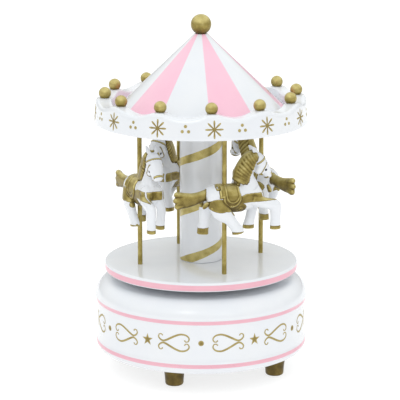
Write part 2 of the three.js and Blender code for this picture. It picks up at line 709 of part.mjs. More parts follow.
function bedplate() {
  const left = -FLANGE_RADIUS - 3;
  const right = FRAME_X + PLATE_THICKNESS + 1.5;
  const front = WORM_Y - 3.5;
  const back = COMB_BACK_Y + 0.5;
  const plate = toSolid(box(left, right, front, back, BEDPLATE_BOTTOM, BEDPLATE_TOP));
  const limit = toSolid(disc(COVER_RADIUS - RUN, BEDPLATE_BOTTOM - 1, BEDPLATE_TOP + 1, 48));
  return fromSolid(cut(plate.intersect(limit), [
    disc(ARBOR_RADIUS + FIT, BEDPLATE_BOTTOM - 1, BEDPLATE_TOP + 1, 12),
    ...PLATE_POSTS.map(([x, y]) =>
      disc(SCREW_RADIUS + FIT, BEDPLATE_BOTTOM - 1, BEDPLATE_TOP + 1, 8).translate(x, y, 0)),
  ]));
}

function comb() {
  const points = [
    [COMB_X1, COMB_ROOT_Y],
    [COMB_X1, COMB_BACK_Y],
    [COMB_X0, COMB_BACK_Y],
    [COMB_X0, COMB_ROOT_Y],
  ];
  const slot = 0.15 * NOTE_PITCH;
  for (let note = 0; note < NOTES; note += 1) {
    const left = COMB_X0 + note * NOTE_PITCH + slot;
    const right = left + NOTE_PITCH - 2 * slot;
    points.push([left, COMB_ROOT_Y], [left, COMB_TIP_Y], [right, COMB_TIP_Y], [right, COMB_ROOT_Y]);
  }
  const plate = slab(outline(points), COMB_THICKNESS).translate(0, 0, AXLE_LEVEL - COMB_THICKNESS / 2);
  const holes = combScrews.map(([x, y]) =>
    disc(SCREW_RADIUS + FIT, AXLE_LEVEL - 2, AXLE_LEVEL + 2, 8).translate(x, y, 0));
  return fromSolid(cut(toSolid(plate), holes));
}

function combRest() {
  const top = AXLE_LEVEL - COMB_THICKNESS / 2 - SEAT;
  const block = box(COMB_X0, COMB_X1, COMB_ROOT_Y + 1, COMB_BACK_Y, BEDPLATE_TOP + SEAT, top);
  const holes = combScrews.map(([x, y]) =>
    disc(SCREW_RADIUS + FIT, top - COMB_SCREW_DEPTH - 1, top + 1, 8).translate(x, y, 0));
  return fromSolid(cut(toSolid(block), holes));
}

// A hole through a plate that stands across the X axis.
const axleHole = (radius, x, y) =>
  alongX(disc(radius + FIT, -1, PLATE_THICKNESS + 1, 10)).translate(x, y, AXLE_LEVEL);

function cylinderBearing() {
  const half = 4;
  const plate = box(
    BEARING_X,
    BEARING_X + PLATE_THICKNESS,
    -half,
    half,
    BEDPLATE_TOP + SEAT,
    AXLE_LEVEL + half,
  );
  return fromSolid(cut(toSolid(plate), [axleHole(AXLE_RADIUS, BEARING_X, 0)]));
}

function governorPost() {
  const inner = -CYLINDER_SWEEP - 0.6;
  const outer = GOVERNOR_Y - 2;
  const plate = box(
    POST_X,
    POST_X + PLATE_THICKNESS,
    outer,
    inner,
    BEDPLATE_TOP + SEAT,
    AXLE_LEVEL + 2.4,
  );
  return fromSolid(cut(toSolid(plate), [axleHole(FINE_AXLE_RADIUS, POST_X, GOVERNOR_Y)]));
}

function governorFrame() {
  const reach = Math.sqrt(Math.max(0, FAN_RADIUS ** 2 - (FRAME_X - WORM_X) ** 2));
  const front = WORM_Y + Math.max(reach, WORM_RADIUS + WORM_DEPTH) + RUN;
  const outer = FRAME_X + PLATE_THICKNESS;
  const top = ARM_BOTTOM + PLATE_THICKNESS;
  const bearing = WORM_Y - 2;
  const frame = join([
    box(FRAME_X, outer, front, 4, BEDPLATE_TOP + SEAT, top),
    box(WORM_X - 1.8, outer, bearing, front + 2, ARM_BOTTOM, top),
  ]);
  return fromSolid(cut(frame, [
    axleHole(AXLE_RADIUS, FRAME_X, 0),
    axleHole(FINE_AXLE_RADIUS, FRAME_X, GOVERNOR_Y),
    disc(FINE_AXLE_RADIUS + FIT, ARM_BOTTOM - 1, top + 1, 10).translate(WORM_X, WORM_Y, 0),
  ]));
}

place('movement_bedplate', bedplate(), STEEL);
PLATE_POSTS.forEach(([x, y], index) => {
  const length = BEDPLATE_TOP - COVER_BOTTOM;
  place(`movement_screw_${index + 1}`, screw(length), STEEL).position.set(x, y, COVER_BOTTOM - SEAT);
});
place('comb', comb(), STEEL);
place('comb_rest', combRest(), DARK_STEEL);
combScrews.forEach(([x, y], index) => {
  const head = place(`comb_screw_${index + 1}`, screw(COMB_THICKNESS + COMB_SCREW_DEPTH), STEEL);
  head.rotation.x = Math.PI;
  head.position.set(x, y, AXLE_LEVEL + COMB_THICKNESS / 2 + SEAT);
});
place('cylinder_bearing', cylinderBearing(), DARK_STEEL);
place('governor_post', governorPost(), DARK_STEEL);
place('governor_frame', governorFrame(), DARK_STEEL);

// ---------------------------------------------------------------- movement: cylinder, train and governor
// A wheel on the cylinder's axle, bored to clear the axle.
function axleWheel(shape, hole, thickness) {
  return alongX(slab(bore(shape, hole), thickness));
}

function musicCylinder() {
  const start = CYLINDER_X;
  const end = CYLINDER_X + CYLINDER_LENGTH;
  const roller = alongX(lathe([
    [0, DRUM_RADIUS + SEAT / 2],
    [AXLE_RADIUS, DRUM_RADIUS + SEAT / 2],
    [AXLE_RADIUS, start],
    [CYLINDER_RADIUS, start],
    [CYLINDER_RADIUS, end],
    [AXLE_RADIUS, end],
    [AXLE_RADIUS, FRAME_X + PLATE_THICKNESS + 0.4],
    [0, FRAME_X + PLATE_THICKNESS + 0.4],
  ], 24));
  const pin = new THREE.CylinderGeometry(0.16, 0.24, CYLINDER_PIN + 0.6, 4);
  pin.rotateX(Math.PI / 2).translate(0, 0, CYLINDER_RADIUS + CYLINDER_PIN - (CYLINDER_PIN + 0.6) / 2);
  const pins = [];
  for (let note = 0; note < NOTES; note += 1) {
    for (let beat = 0; beat < 2; beat += 1) {
      const angle = (note * 137 + beat * 151) * DEG;
      const x = COMB_X0 + (note + 0.5) * NOTE_PITCH;
      pins.push(toSolid(pin, at(x, 0, 0).multiply(new THREE.Matrix4().makeRotationX(angle))));
    }
  }
  return fromSolid(pins.reduce((all, one) => all.add(one), toSolid(roller)));
}

// One eccentric round drawn up a helix is a single-start worm.
function governorWorm() {
  const lead = Math.PI * TRAIN_MODULE;
  const turns = WORM_LENGTH / lead;
  const round = outline(arc(WORM_DEPTH, 0, WORM_RADIUS, WORM_RADIUS, 0, 324, 9));
  const thread = new THREE.ExtrudeGeometry(round, {
    depth: WORM_LENGTH,
    bevelEnabled: false,
    steps: Math.round(turns * 8),
  });
  const position = thread.attributes.position;
  const point = new THREE.Vector3();
  for (let index = 0; index < position.count; index += 1) {
    point.fromBufferAttribute(position, index);
    const angle = Math.PI / 2 - (2 * Math.PI * (point.z - WORM_LENGTH / 2 + WORM_PHASE * lead)) / lead;
    point.applyAxisAngle(new THREE.Vector3(0, 0, 1), angle);
    position.setXYZ(index, point.x, point.y, point.z);
  }
  thread.translate(0, 0, AXLE_LEVEL - WORM_LENGTH / 2);
  const spindle = disc(FINE_AXLE_RADIUS, BEDPLATE_TOP + SEAT, ARM_BOTTOM + PLATE_THICKNESS + 0.4, 10);
  return fromSolid(join([thread, spindle]));
}

function governorWheel() {
  const pinion = slab(gearOutline(GOVERNOR_PINION_TEETH, TRAIN_MODULE, 0.5), WHEEL_THICKNESS);
  const wormWheel = slab(gearOutline(WORM_WHEEL_TEETH, TRAIN_MODULE), WORM_WHEEL_THICKNESS);
  return fromSolid(join([
    alongX(disc(FINE_AXLE_RADIUS, POST_X - 0.4, FRAME_X + PLATE_THICKNESS + 0.4, 10)),
    alongX(pinion).translate(WHEEL_X, 0, 0),
    alongX(wormWheel).translate(WORM_WHEEL_X, 0, 0),
  ]));
}

function airBrakeFan() {
  const middle = FAN_HEIGHT / 2;
  const fan = join([
    disc(FINE_AXLE_RADIUS + 1, 0, FAN_HEIGHT, 12),
    box(-FAN_RADIUS, FAN_RADIUS, -0.3, 0.3, middle - 1.8, middle + 1.8),
  ]);
  return fromSolid(cut(fan, [disc(FINE_AXLE_RADIUS + FIT, -1, FAN_HEIGHT + 1, 10)]));
}

const axleHoleRadius = AXLE_RADIUS + FIT;
place('music_cylinder', musicCylinder(), BRASS).position.z = AXLE_LEVEL;
place(
  'cylinder_pinion',
  axleWheel(gearOutline(PINION_TEETH, GEAR_MODULE, 0.5), axleHoleRadius, FACE_WIDTH),
  NYLON,
).position.set(CROWN_WHEEL_PITCH - FACE_WIDTH / 2, 0, AXLE_LEVEL);
place(
  'cylinder_wheel',
  axleWheel(gearOutline(CYLINDER_WHEEL_TEETH, TRAIN_MODULE), axleHoleRadius, WHEEL_THICKNESS),
  NYLON,
).position.set(WHEEL_X, 0, AXLE_LEVEL);
place('governor_wheel', governorWheel(), NYLON).position.set(0, GOVERNOR_Y, AXLE_LEVEL);
place('governor_worm', governorWorm(), STEEL).position.set(WORM_X, WORM_Y, 0);
place('air_brake_fan', airBrakeFan(), GREY_PLASTIC).position.set(WORM_X, WORM_Y, FAN_BOTTOM);

export default part;
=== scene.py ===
"""Finish and fine shape of a wind-up carousel music box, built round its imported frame.

Everything is in metres, +Z up, with the origin under the turning axis and the front facing -Y.
Sizes inside the classes are in millimetres, as a maker would note them, and are scaled by MM.
"""
import json
import logging
import math
from collections.abc import Callable, Sequence
from dataclasses import dataclass, field
from enum import IntEnum

import bmesh
import bpy
import numpy as np
from mathutils import Matrix, Vector
from mathutils.bvhtree import BVHTree

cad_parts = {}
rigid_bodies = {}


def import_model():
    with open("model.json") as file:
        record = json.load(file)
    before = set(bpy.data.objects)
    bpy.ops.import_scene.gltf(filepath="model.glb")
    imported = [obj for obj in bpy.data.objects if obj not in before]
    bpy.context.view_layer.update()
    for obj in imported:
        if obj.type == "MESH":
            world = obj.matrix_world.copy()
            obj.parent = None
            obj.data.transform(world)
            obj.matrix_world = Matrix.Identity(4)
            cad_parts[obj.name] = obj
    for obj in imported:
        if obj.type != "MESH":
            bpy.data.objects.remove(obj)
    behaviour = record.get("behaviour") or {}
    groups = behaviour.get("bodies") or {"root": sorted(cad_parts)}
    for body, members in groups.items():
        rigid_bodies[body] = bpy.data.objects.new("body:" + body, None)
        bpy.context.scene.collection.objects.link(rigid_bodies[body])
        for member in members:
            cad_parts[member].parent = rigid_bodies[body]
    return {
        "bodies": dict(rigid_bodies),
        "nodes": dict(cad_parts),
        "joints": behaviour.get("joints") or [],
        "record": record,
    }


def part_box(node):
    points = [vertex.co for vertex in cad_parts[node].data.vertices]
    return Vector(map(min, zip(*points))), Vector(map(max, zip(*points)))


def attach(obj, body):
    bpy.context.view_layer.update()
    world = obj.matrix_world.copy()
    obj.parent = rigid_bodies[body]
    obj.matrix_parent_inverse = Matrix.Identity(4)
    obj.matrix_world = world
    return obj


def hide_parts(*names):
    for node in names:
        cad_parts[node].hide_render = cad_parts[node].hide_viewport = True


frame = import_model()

MM = 0.001
LOG = logging.getLogger("carousel")
Point2 = tuple[float, float]
Point3 = tuple[float, float, float]
Colour = tuple[float, float, float]
Socket = bpy.types.NodeSocket
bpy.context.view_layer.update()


# ------------------------------------------------------------------ small maths
def srgb(red: int, green: int, blue: int) -> Colour:
    """Turns a paint-card colour into the linear values that shaders take.

    Args:
        red: Red from 0 to 255.
        green: Green from 0 to 255.
        blue: Blue from 0 to 255.

    Returns:
        The linear red, green and blue.
    """
    def linear(value: int) -> float:
        """One channel, by the usual display curve."""
        share = value / 255
        return share / 12.92 if share <= 0.04045 else ((share + 0.055) / 1.055) ** 2.4

    return linear(red), linear(green), linear(blue)


def around(radius: float, bearing: float) -> Point2:
    """Where a bearing meets a circle about the turning axis.

    Args:
        radius: The circle's radius.
        bearing: Degrees from the front, towards +X.

    Returns:
        X and Y.
    """
    angle = math.radians(bearing)
    return radius * math.sin(angle), -radius * math.cos(angle)


def arc(centre: Point2, radii: Point2, first: float, last: float, steps: int) -> list[Point2]:
    """Points on part of an ellipse.

    Args:
        centre: The ellipse's middle.
        radii: Its two half widths.
        first: Where it starts, in degrees from the first axis.
        last: Where it ends, in degrees.
        steps: How many chords it has.

    Returns:
        The points, both ends included.
    """
    angles = [math.radians(first + (last - first) * step / steps) for step in range(steps + 1)]
    return [(centre[0] + radii[0] * math.cos(a), centre[1] + radii[1] * math.sin(a)) for a in angles]


def smooth_path(stations: Sequence[Sequence[float]], steps: int) -> np.ndarray:
    """Runs a Catmull-Rom curve through rows of numbers.

    Args:
        stations: The rows that the curve passes through.
        steps: How many rows it gives between two stations.

    Returns:
        The rows of the smooth run.
    """
    rows = np.asarray(stations, float)
    padded = np.vstack([2 * rows[0] - rows[1], rows, 2 * rows[-1] - rows[-2]])
    out = []
    for index in range(1, len(padded) - 2):
        before, start, end, after = padded[index - 1:index + 3]
        for step in range(steps):
            t = step / steps
            out.append(0.5 * (
                2 * start
                + (end - before) * t
                + (2 * before - 5 * start + 4 * end - after) * t ** 2
                + (3 * start - before - 3 * end + after) * t ** 3
            ))
    out.append(padded[-2])
    return np.array(out)


def ease(values: np.ndarray, low: float, high: float) -> np.ndarray:
    """Smooth step of values from 0 at low to 1 at high."""
    share = np.clip((values - low) / (high - low), 0, 1)
    return share * share * (3 - 2 * share)


# ------------------------------------------------------------------ finishes
class Recipe:
    """Wires one material's nodes.

    Args:
        name: The material's name.
    """

    def __init__(self, name: str) -> None:
        self.material = bpy.data.materials.new(name)
        self.material.use_nodes = True
        self.tree = self.material.node_tree
        self.tree.nodes.clear()
        self.output = self.node("ShaderNodeOutputMaterial")
        self.shader = self.node("ShaderNodeBsdfPrincipled")
        self.link(self.shader.outputs[0], self.output.inputs[0])
        self.place = self.node("ShaderNodeTexCoord").outputs["Object"]

    def node(self, kind: str) -> bpy.types.Node:
        """Adds a node of that kind."""
        return self.tree.nodes.new(kind)

    def link(self, source: Socket, target: Socket) -> None:
        """Joins two sockets."""
        self.tree.links.new(source, target)

    def fill(self, socket: Socket, value: object) -> None:
        """Puts a link or a plain value into a socket."""
        if isinstance(value, Socket):
            self.link(value, socket)
        elif isinstance(value, tuple) and len(value) == 3 and socket.type == "RGBA":
            socket.default_value = (*value, 1)
        else:
            socket.default_value = value

    def stretched(self, scale: Point3) -> Socket:
        """The place on the piece, stretched along its axes."""
        mapping = self.node("ShaderNodeMapping")
        self.link(self.place, mapping.inputs["Vector"])
        mapping.inputs["Scale"].default_value = scale
        return mapping.outputs[0]

    def noise(self, size: float, detail: float = 4, where: Socket | None = None) -> Socket:
        """Cloudy noise.

        Args:
            size: The width of its largest blotches in millimetres.
            detail: How many finer layers it has.
            where: The coordinates it is read at, or None for the place on the piece.

        Returns:
            Its value, about 0.5 in the middle.
        """
        noise = self.node("ShaderNodeTexNoise")
        self.link(where or self.place, noise.inputs["Vector"])
        noise.inputs["Scale"].default_value = 1 / (size * MM)
        noise.inputs["Detail"].default_value = detail
        return noise.outputs["Fac"]

    def sums(self, kind: str, first: object, second: object) -> Socket:
        """One sum on two values, named as the Math node names it."""
        node = self.node("ShaderNodeMath")
        node.operation = kind
        self.fill(node.inputs[0], first)
        self.fill(node.inputs[1], second)
        return node.outputs[0]

    def spread(self, value: object, low: float, high: float, to_low: float, to_high: float) -> Socket:
        """Maps the range from low to high to another, held at both ends."""
        node = self.node("ShaderNodeMapRange")
        for socket, number in zip(node.inputs[:5], (value, low, high, to_low, to_high)):
            self.fill(socket, number)
        return node.outputs[0]

    def ramp(self, value: Socket, stops: Sequence[tuple[float, Colour]]) -> Socket:
        """Colours a value by stops of place and colour."""
        node = self.node("ShaderNodeValToRGB")
        self.link(value, node.inputs[0])
        elements = node.color_ramp.elements
        while len(elements) < len(stops):
            elements.new(0.5)
        for element, (place, colour) in zip(elements, stops):
            element.position = place
            element.color = (*colour, 1)
        return node.outputs[0]

    def mix(self, share: object, first: object, second: object) -> Socket:
        """Mixes two colours by a share."""
        node = self.node("ShaderNodeMix")
        node.data_type = "RGBA"
        self.fill(node.inputs[0], share)
        self.fill(node.inputs[6], first)
        self.fill(node.inputs[7], second)
        return node.outputs[2]

    def attribute(self, name: str) -> Socket:
        """A number kept on the mesh's points."""
        node = self.node("ShaderNodeAttribute")
        node.attribute_name = name
        return node.outputs["Fac"]

    def raised(self) -> Socket:
        """How much the surface stands out: about 0.5 where it is flat."""
        return self.node("ShaderNodeNewGeometry").outputs["Pointiness"]

    def upwards(self) -> Socket:
        """How far the surface faces up: 1 for a top, -1 for an underside."""
        split = self.node("ShaderNodeSeparateXYZ")
        self.link(self.node("ShaderNodeNewGeometry").outputs["Normal"], split.inputs[0])
        return split.outputs["Z"]

    def bump(self, height: Socket, depth: float) -> None:
        """Roughens the surface by a height of 0 to 1, depth millimetres deep."""
        node = self.node("ShaderNodeBump")
        node.inputs["Strength"].default_value = 1
        node.inputs["Distance"].default_value = depth * MM
        self.link(height, node.inputs["Height"])
        self.link(node.outputs[0], self.shader.inputs["Normal"])

    def set(self, **values: object) -> None:
        """Sets the shader's sockets; an underscore stands for a space in a name."""
        for name, value in values.items():
            self.fill(self.shader.inputs[name.replace("_", " ")], value)


@dataclass(frozen=True)
class GlossyPlastic:
    """Moulded or lacquered plastic with a wet-looking skin.

    Attributes:
        name: The material's name.
        colour: Its colour.
        tint: The colour its faint clouds lean to.
        roughness: How soft its reflections are.
        coat: How strong the clear skin is.
        ripple: Depth of its slow waviness in millimetres.
    """

    name: str
    colour: Colour
    tint: Colour
    roughness: float = 0.22
    coat: float = 0.35
    ripple: float = 0.012

    def layer(self, recipe: Recipe) -> tuple[Socket, Socket]:
        """Wires the colour and roughness.

        Args:
            recipe: The material being made.

        Returns:
            The colour and the roughness.
        """
        clouds = recipe.noise(14, 3)
        colour = recipe.mix(recipe.spread(clouds, 0.35, 0.7, 0, 0.5), self.colour, self.tint)
        smears = recipe.noise(9, 3, recipe.stretched((1, 1, 2.4)))
        return colour, recipe.spread(smears, 0.3, 0.75, 0.9 * self.roughness, 1.2 * self.roughness)

    def skin(self, recipe: Recipe) -> None:
        """Wires the waviness and the clear skin."""
        recipe.bump(recipe.noise(13, 1), self.ripple)
        recipe.set(IOR=1.5, Coat_Weight=self.coat, Coat_Roughness=0.06)

    def material(self) -> bpy.types.Material:
        """Makes the material."""
        recipe = Recipe(self.name)
        colour, roughness = self.layer(recipe)
        recipe.set(Base_Color=colour, Roughness=roughness)
        self.skin(recipe)
        return recipe.material


@dataclass(frozen=True)
class AntiqueGold:
    """Brushed-on antique gold paint: olive in its hollows from patina and painted shade, bright where it is
    rubbed, with painted shade on its undersides and painted light on its tops.

    Attributes:
        name: The material's name.
        dark: Colour in the hollows.
        middle: Colour of the paint.
        light: Colour where it is rubbed.
        metallic: Share of metal flake.
        roughness: How soft its sheen is.
        strokes: Depth of the brush strokes in millimetres.
    """

    name: str
    dark: Colour
    middle: Colour
    light: Colour
    metallic: float = 0.6
    roughness: float = 0.34
    strokes: float = 0.02

    def layer(self, recipe: Recipe) -> tuple[Socket, Socket]:
        """Wires the colour and roughness.

        Args:
            recipe: The material being made.

        Returns:
            The colour and the roughness.
        """
        patches = recipe.spread(recipe.noise(3.4, 3), 0.2, 0.8, 0.34, 0.66)
        flake = recipe.spread(recipe.noise(0.16, 2), 0.2, 0.8, -0.1, 0.1)
        # darker in hollows: antique patina, with painted shade where a ball sits on its seat; lighter on
        # raised edges where the paint is rubbed
        hollow_patina_and_shade = recipe.spread(recipe.raised(), 0.47, 0.54, -0.26, 0.26)
        # painted shade and light: darker on undersides, a little lighter on tops, as light falls from above
        painted_shade_by_facing = recipe.spread(recipe.upwards(), -0.7, 0.7, -0.34, 0.14)
        colour = recipe.ramp(
            recipe.sums("ADD", recipe.sums("ADD", patches, flake), recipe.sums("ADD", hollow_patina_and_shade, painted_shade_by_facing)),
            [(0.22, self.dark), (0.5, self.middle), (0.78, self.light)],
        )
        return colour, recipe.spread(patches, 0.3, 0.7, 0.85 * self.roughness, 1.2 * self.roughness)

    def material(self) -> bpy.types.Material:
        """Makes the material."""
        recipe = Recipe(self.name)
        colour, roughness = self.layer(recipe)
        recipe.set(Base_Color=colour, Roughness=roughness, Metallic=self.metallic, IOR=1.5)
        recipe.bump(recipe.noise(0.7, 4, recipe.stretched((1, 1, 0.35))), self.strokes)
        return recipe.material


@dataclass(frozen=True)
class PaintedHorse:
    """White plastic with gold laid over its raised harness, and black eyes.

    Attributes:
        name: The material's name.
        plastic: The bare plastic.
        gold: The paint.
        eye: The eyes' colour.
    """

    name: str
    plastic: GlossyPlastic
    gold: AntiqueGold
    eye: Colour

    def material(self) -> bpy.types.Material:
        """Makes the material."""
        recipe = Recipe(self.name)
        white, white_roughness = self.plastic.layer(recipe)
        gilt, gilt_roughness = self.gold.layer(recipe)
        wander = recipe.spread(recipe.noise(0.8, 3), 0.2, 0.8, -0.1, 0.1)
        edge = recipe.sums("ADD", recipe.attribute(Horse.GILT), wander)
        painted = recipe.spread(edge, -0.03, 0.05, 0, 1)
        black = recipe.spread(recipe.attribute(Horse.EYE), -0.05, 0.05, 0, 1)
        rim = recipe.spread(edge, 0.04, 0.36, 0.8, 0)
        gilt = recipe.mix(rim, gilt, self.gold.dark)
        colour = recipe.mix(black, recipe.mix(painted, white, gilt), self.eye)
        roughness = recipe.sums(
            "ADD",
            recipe.sums("MULTIPLY", gilt_roughness, painted),
            recipe.sums("MULTIPLY", white_roughness, recipe.sums("SUBTRACT", 1.0, painted)),
        )
        metal = recipe.sums("MULTIPLY", painted, self.gold.metallic)
        recipe.set(Base_Color=colour, Roughness=roughness, Metallic=metal)
        recipe.set(IOR=1.5, Coat_Weight=0.15, Coat_Roughness=0.1)
        strokes = recipe.sums("MULTIPLY", recipe.noise(0.6, 4), painted)
        recipe.bump(recipe.sums("ADD", strokes, recipe.sums("MULTIPLY", recipe.noise(6, 1), 0.3)), 0.04)
        return recipe.material


@dataclass(frozen=True)
class WorkedMetal:
    """Bare or plated metal with tool marks.

    Attributes:
        name: The material's name.
        light: Colour of the metal.
        dark: Colour where it is stained or oiled.
        roughness: How soft its reflections are.
        grain: Stretch of the tool marks along each axis.
    """

    name: str
    light: Colour
    dark: Colour
    roughness: float
    grain: Point3 = (1, 1, 8)

    def material(self) -> bpy.types.Material:
        """Makes the material."""
        recipe = Recipe(self.name)
        stains = recipe.noise(4, 5)
        marks = recipe.noise(0.9, 4, recipe.stretched(self.grain))
        colour = recipe.ramp(stains, [(0.3, self.dark), (0.62, self.light)])
        recipe.set(Base_Color=colour, Metallic=1.0)
        recipe.set(Roughness=recipe.spread(marks, 0.3, 0.7, 0.7 * self.roughness, 1.4 * self.roughness))
        recipe.bump(marks, 0.012)
        return recipe.material


@dataclass(frozen=True)
class MattePlastic:
    """Unlacquered moulded plastic with a fine spark-eroded texture.

    Attributes:
        name: The material's name.
        colour: Its colour.
        scuff: Colour where it is rubbed.
        roughness: How dull it is.
    """

    name: str
    colour: Colour
    scuff: Colour
    roughness: float = 0.55

    def material(self) -> bpy.types.Material:
        """Makes the material."""
        recipe = Recipe(self.name)
        rubbed = recipe.spread(recipe.noise(3.5, 6), 0.5, 0.75, 0, 0.6)
        recipe.set(Base_Color=recipe.mix(rubbed, self.colour, self.scuff), IOR=1.46)
        recipe.set(Roughness=recipe.spread(rubbed, 0, 0.6, self.roughness, 0.7 * self.roughness))
        recipe.bump(recipe.noise(0.22, 3), 0.03)
        return recipe.material


WHITE = GlossyPlastic("white_lacquer", srgb(233, 235, 239), srgb(226, 230, 237))
PINK = GlossyPlastic("pink_lacquer", srgb(247, 196, 214), srgb(243, 187, 208))
PINK_LINE = GlossyPlastic("pink_line_paint", srgb(236, 180, 194), srgb(229, 166, 183), 0.3, 0.2)
GOLD = AntiqueGold("antique_gold", srgb(94, 78, 28), srgb(158, 141, 74), srgb(204, 190, 126))
PRINT_GOLD = AntiqueGold(
    "printed_gold", srgb(118, 99, 44), srgb(152, 134, 76), srgb(184, 168, 110), 0.25, 0.5, 0.01,
)
DARK_GOLD = AntiqueGold("dark_gold", srgb(58, 46, 18), srgb(112, 94, 44), srgb(164, 144, 84))
HORSE_PAINT = PaintedHorse("painted_horse", WHITE, GOLD, srgb(18, 16, 16))
GREY = MattePlastic("grey_moulding", srgb(150, 152, 154), srgb(176, 178, 180))
NYLON = MattePlastic("natural_nylon", srgb(226, 220, 200), srgb(236, 232, 216), 0.42)
NICKEL = WorkedMetal("nickel_plate", srgb(206, 207, 208), srgb(168, 168, 166), 0.22)
BLUED = WorkedMetal("oiled_steel", srgb(110, 114, 120), srgb(66, 66, 68), 0.34)
BRASS = WorkedMetal("turned_brass", srgb(214, 178, 96), srgb(156, 120, 56), 0.26)


class Paints:
    """Makes each finish's material once and hands it out."""

    made: dict[str, bpy.types.Material] = {}

    @classmethod
    def of(cls, finish: object) -> bpy.types.Material:
        """The material of a finish."""
        if finish.name not in cls.made:
            cls.made[finish.name] = finish.material()
        return cls.made[finish.name]


# ------------------------------------------------------------------ mesh making
class Draft:
    """Vertices and faces on their way to becoming a piece; places are in millimetres."""

    def __init__(self) -> None:
        self.points: list[Point3] = []
        self.faces: list[tuple[int, ...]] = []
        self.paint: list[int] = []

    def rings(self, rows: Sequence[Sequence[Point3]], closed: bool = False) -> int:
        """Skins rows of points that each close on themselves.

        Args:
            rows: The rows, with the same number of points.
            closed: True if the last row joins the first.

        Returns:
            The index of the first point.
        """
        start = len(self.points)
        count = len(rows[0])
        for row in rows:
            self.points.extend(tuple(point) for point in row)
        for row in range(len(rows) - (0 if closed else 1)):
            low = start + row * count
            high = start + ((row + 1) % len(rows)) * count
            for index in range(count):
                after = (index + 1) % count
                self.add(low + index, low + after, high + after, high + index)
        return start

    def add(self, *corners: int, paint: int = 0) -> None:
        """Adds one face."""
        self.faces.append(corners)
        self.paint.append(paint)

    def bar(self, rows: Sequence[Sequence[Point3]]) -> None:
        """Adds a solid bar skinned over rings of points, closed at both ends.

        Args:
            rows: The rings, from one end to the other.
        """
        count = len(rows[0])
        start = self.rings(rows)
        self.cap(start, count, True)
        self.cap(start + (len(rows) - 1) * count, count, False)

    def cap(self, first: int, count: int, flip: bool) -> None:
        """Closes a row of points with one face."""
        ring = range(first, first + count)
        self.add(*(reversed(ring) if flip else ring))

    def mesh(self, name: str) -> bpy.types.Mesh:
        """Makes the mesh in metres, with its faces turned outwards."""
        mesh = bpy.data.meshes.new(name)
        mesh.from_pydata([[MM * part for part in point] for point in self.points], [], self.faces)
        mesh.polygons.foreach_set("material_index", self.paint)
        shaped = bmesh.new()
        shaped.from_mesh(mesh)
        bmesh.ops.remove_doubles(shaped, verts=shaped.verts, dist=1e-7)
        bmesh.ops.recalc_face_normals(shaped, faces=shaped.faces)
        shaped.to_mesh(mesh)
        shaped.free()
        return mesh


class Turned:
    """A piece made on a lathe about +Z.

    Args:
        profile: Radius, height and paint number at each corner; the paint is that of the band above it.
        segments: How many flats go round.
        start: The bearing of the first flat, in degrees.
        closed: True if the profile's last corner joins its first.
    """

    def __init__(
        self,
        profile: Sequence[Sequence[float]],
        segments: int = 96,
        start: float = 0,
        closed: bool = False,
    ) -> None:
        self.profile = [(*corner, 0)[:3] for corner in profile]
        self.segments = segments
        self.start = start
        self.closed = closed

    def draft(
        self,
        lift: Callable[[float, float, float], float] | None = None,
        sector: Callable[[float], int] | None = None,
    ) -> Draft:
        """Turns the profile.

        Args:
            lift: Gives the height to add at a bearing, radius and height.
            sector: Gives the paint number at a bearing, for all of the profile's bands.

        Returns:
            The draft.
        """
        draft = Draft()
        bearings = [self.start + 360 * index / self.segments for index in range(self.segments)]
        rows: list[list[int]] = []
        for radius, height, _ in self.profile:
            row = []
            for bearing in bearings[:1] if radius == 0 else bearings:
                x, y = around(radius, bearing)
                rise = lift(bearing, radius, height) if lift else 0
                row.append(len(draft.points))
                draft.points.append((x, y, height + rise))
            rows.append(row)
        pairs = list(zip(rows, rows[1:], self.profile))
        if self.closed:
            pairs.append((rows[-1], rows[0], self.profile[-1]))
        for low, high, (_, _, paint) in pairs:
            for index in range(self.segments):
                after = (index + 1) % self.segments
                corners = [low[index % len(low)], low[after % len(low)]]
                corners += [high[after % len(high)], high[index % len(high)]]
                corners = list(dict.fromkeys(corners))
                if len(corners) > 2:
                    middle = bearings[index] + 180 / self.segments
                    draft.add(*corners, paint=sector(middle) if sector else int(paint))
        return draft


class Workshop:
    """Turns drafts into dressed pieces that ride on the frame."""

    SHARP = math.radians(38)

    @classmethod
    def finish(
        cls,
        name: str,
        mesh: bpy.types.Mesh,
        body: str,
        slot: str,
        finishes: Sequence[object],
        stands_for: Sequence[str] = (),
        place: Matrix | None = None,
    ) -> bpy.types.Object:
        """Makes one piece of the music box.

        Args:
            name: The piece's name.
            mesh: Its shape.
            body: The body that it rides on.
            slot: A material slot's name from the record; not used.
            finishes: Its finishes, in the order of the mesh's paint numbers.
            stands_for: The frame's nodes that it stands for.
            place: Where it goes, or None if its mesh is in place.

        Returns:
            The piece.
        """
        if not mesh.materials:
            for finish in finishes:
                mesh.materials.append(Paints.of(finish))
            mesh.shade_smooth()
            mesh.set_sharp_from_angle(angle=cls.SHARP)
        piece = bpy.data.objects.new(name, mesh)
        bpy.context.scene.collection.objects.link(piece)
        if place is not None:
            piece.matrix_world = place
        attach(piece, body)
        if stands_for:
            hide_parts(*stands_for)
        LOG.info("%s: %d faces on %s", name, len(mesh.polygons), body)
        return piece


def low_mm(node: str) -> float:
    """The height of a node's lowest point, in millimetres."""
    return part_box(node)[0].z / MM


def top_mm(node: str) -> float:
    """The height of a node's highest point, in millimetres."""
    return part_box(node)[1].z / MM


def half_mm(node: str) -> float:
    """Half of a node's width along X, in millimetres."""
    low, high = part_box(node)
    return (high.x - low.x) / 2 / MM


def centre_of(node: str, height: float = 0) -> Matrix:
    """A move to a node's middle in plan, and to a height in millimetres."""
    low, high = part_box(node)
    return Matrix.Translation(((low.x + high.x) / 2, (low.y + high.y) / 2, height * MM))


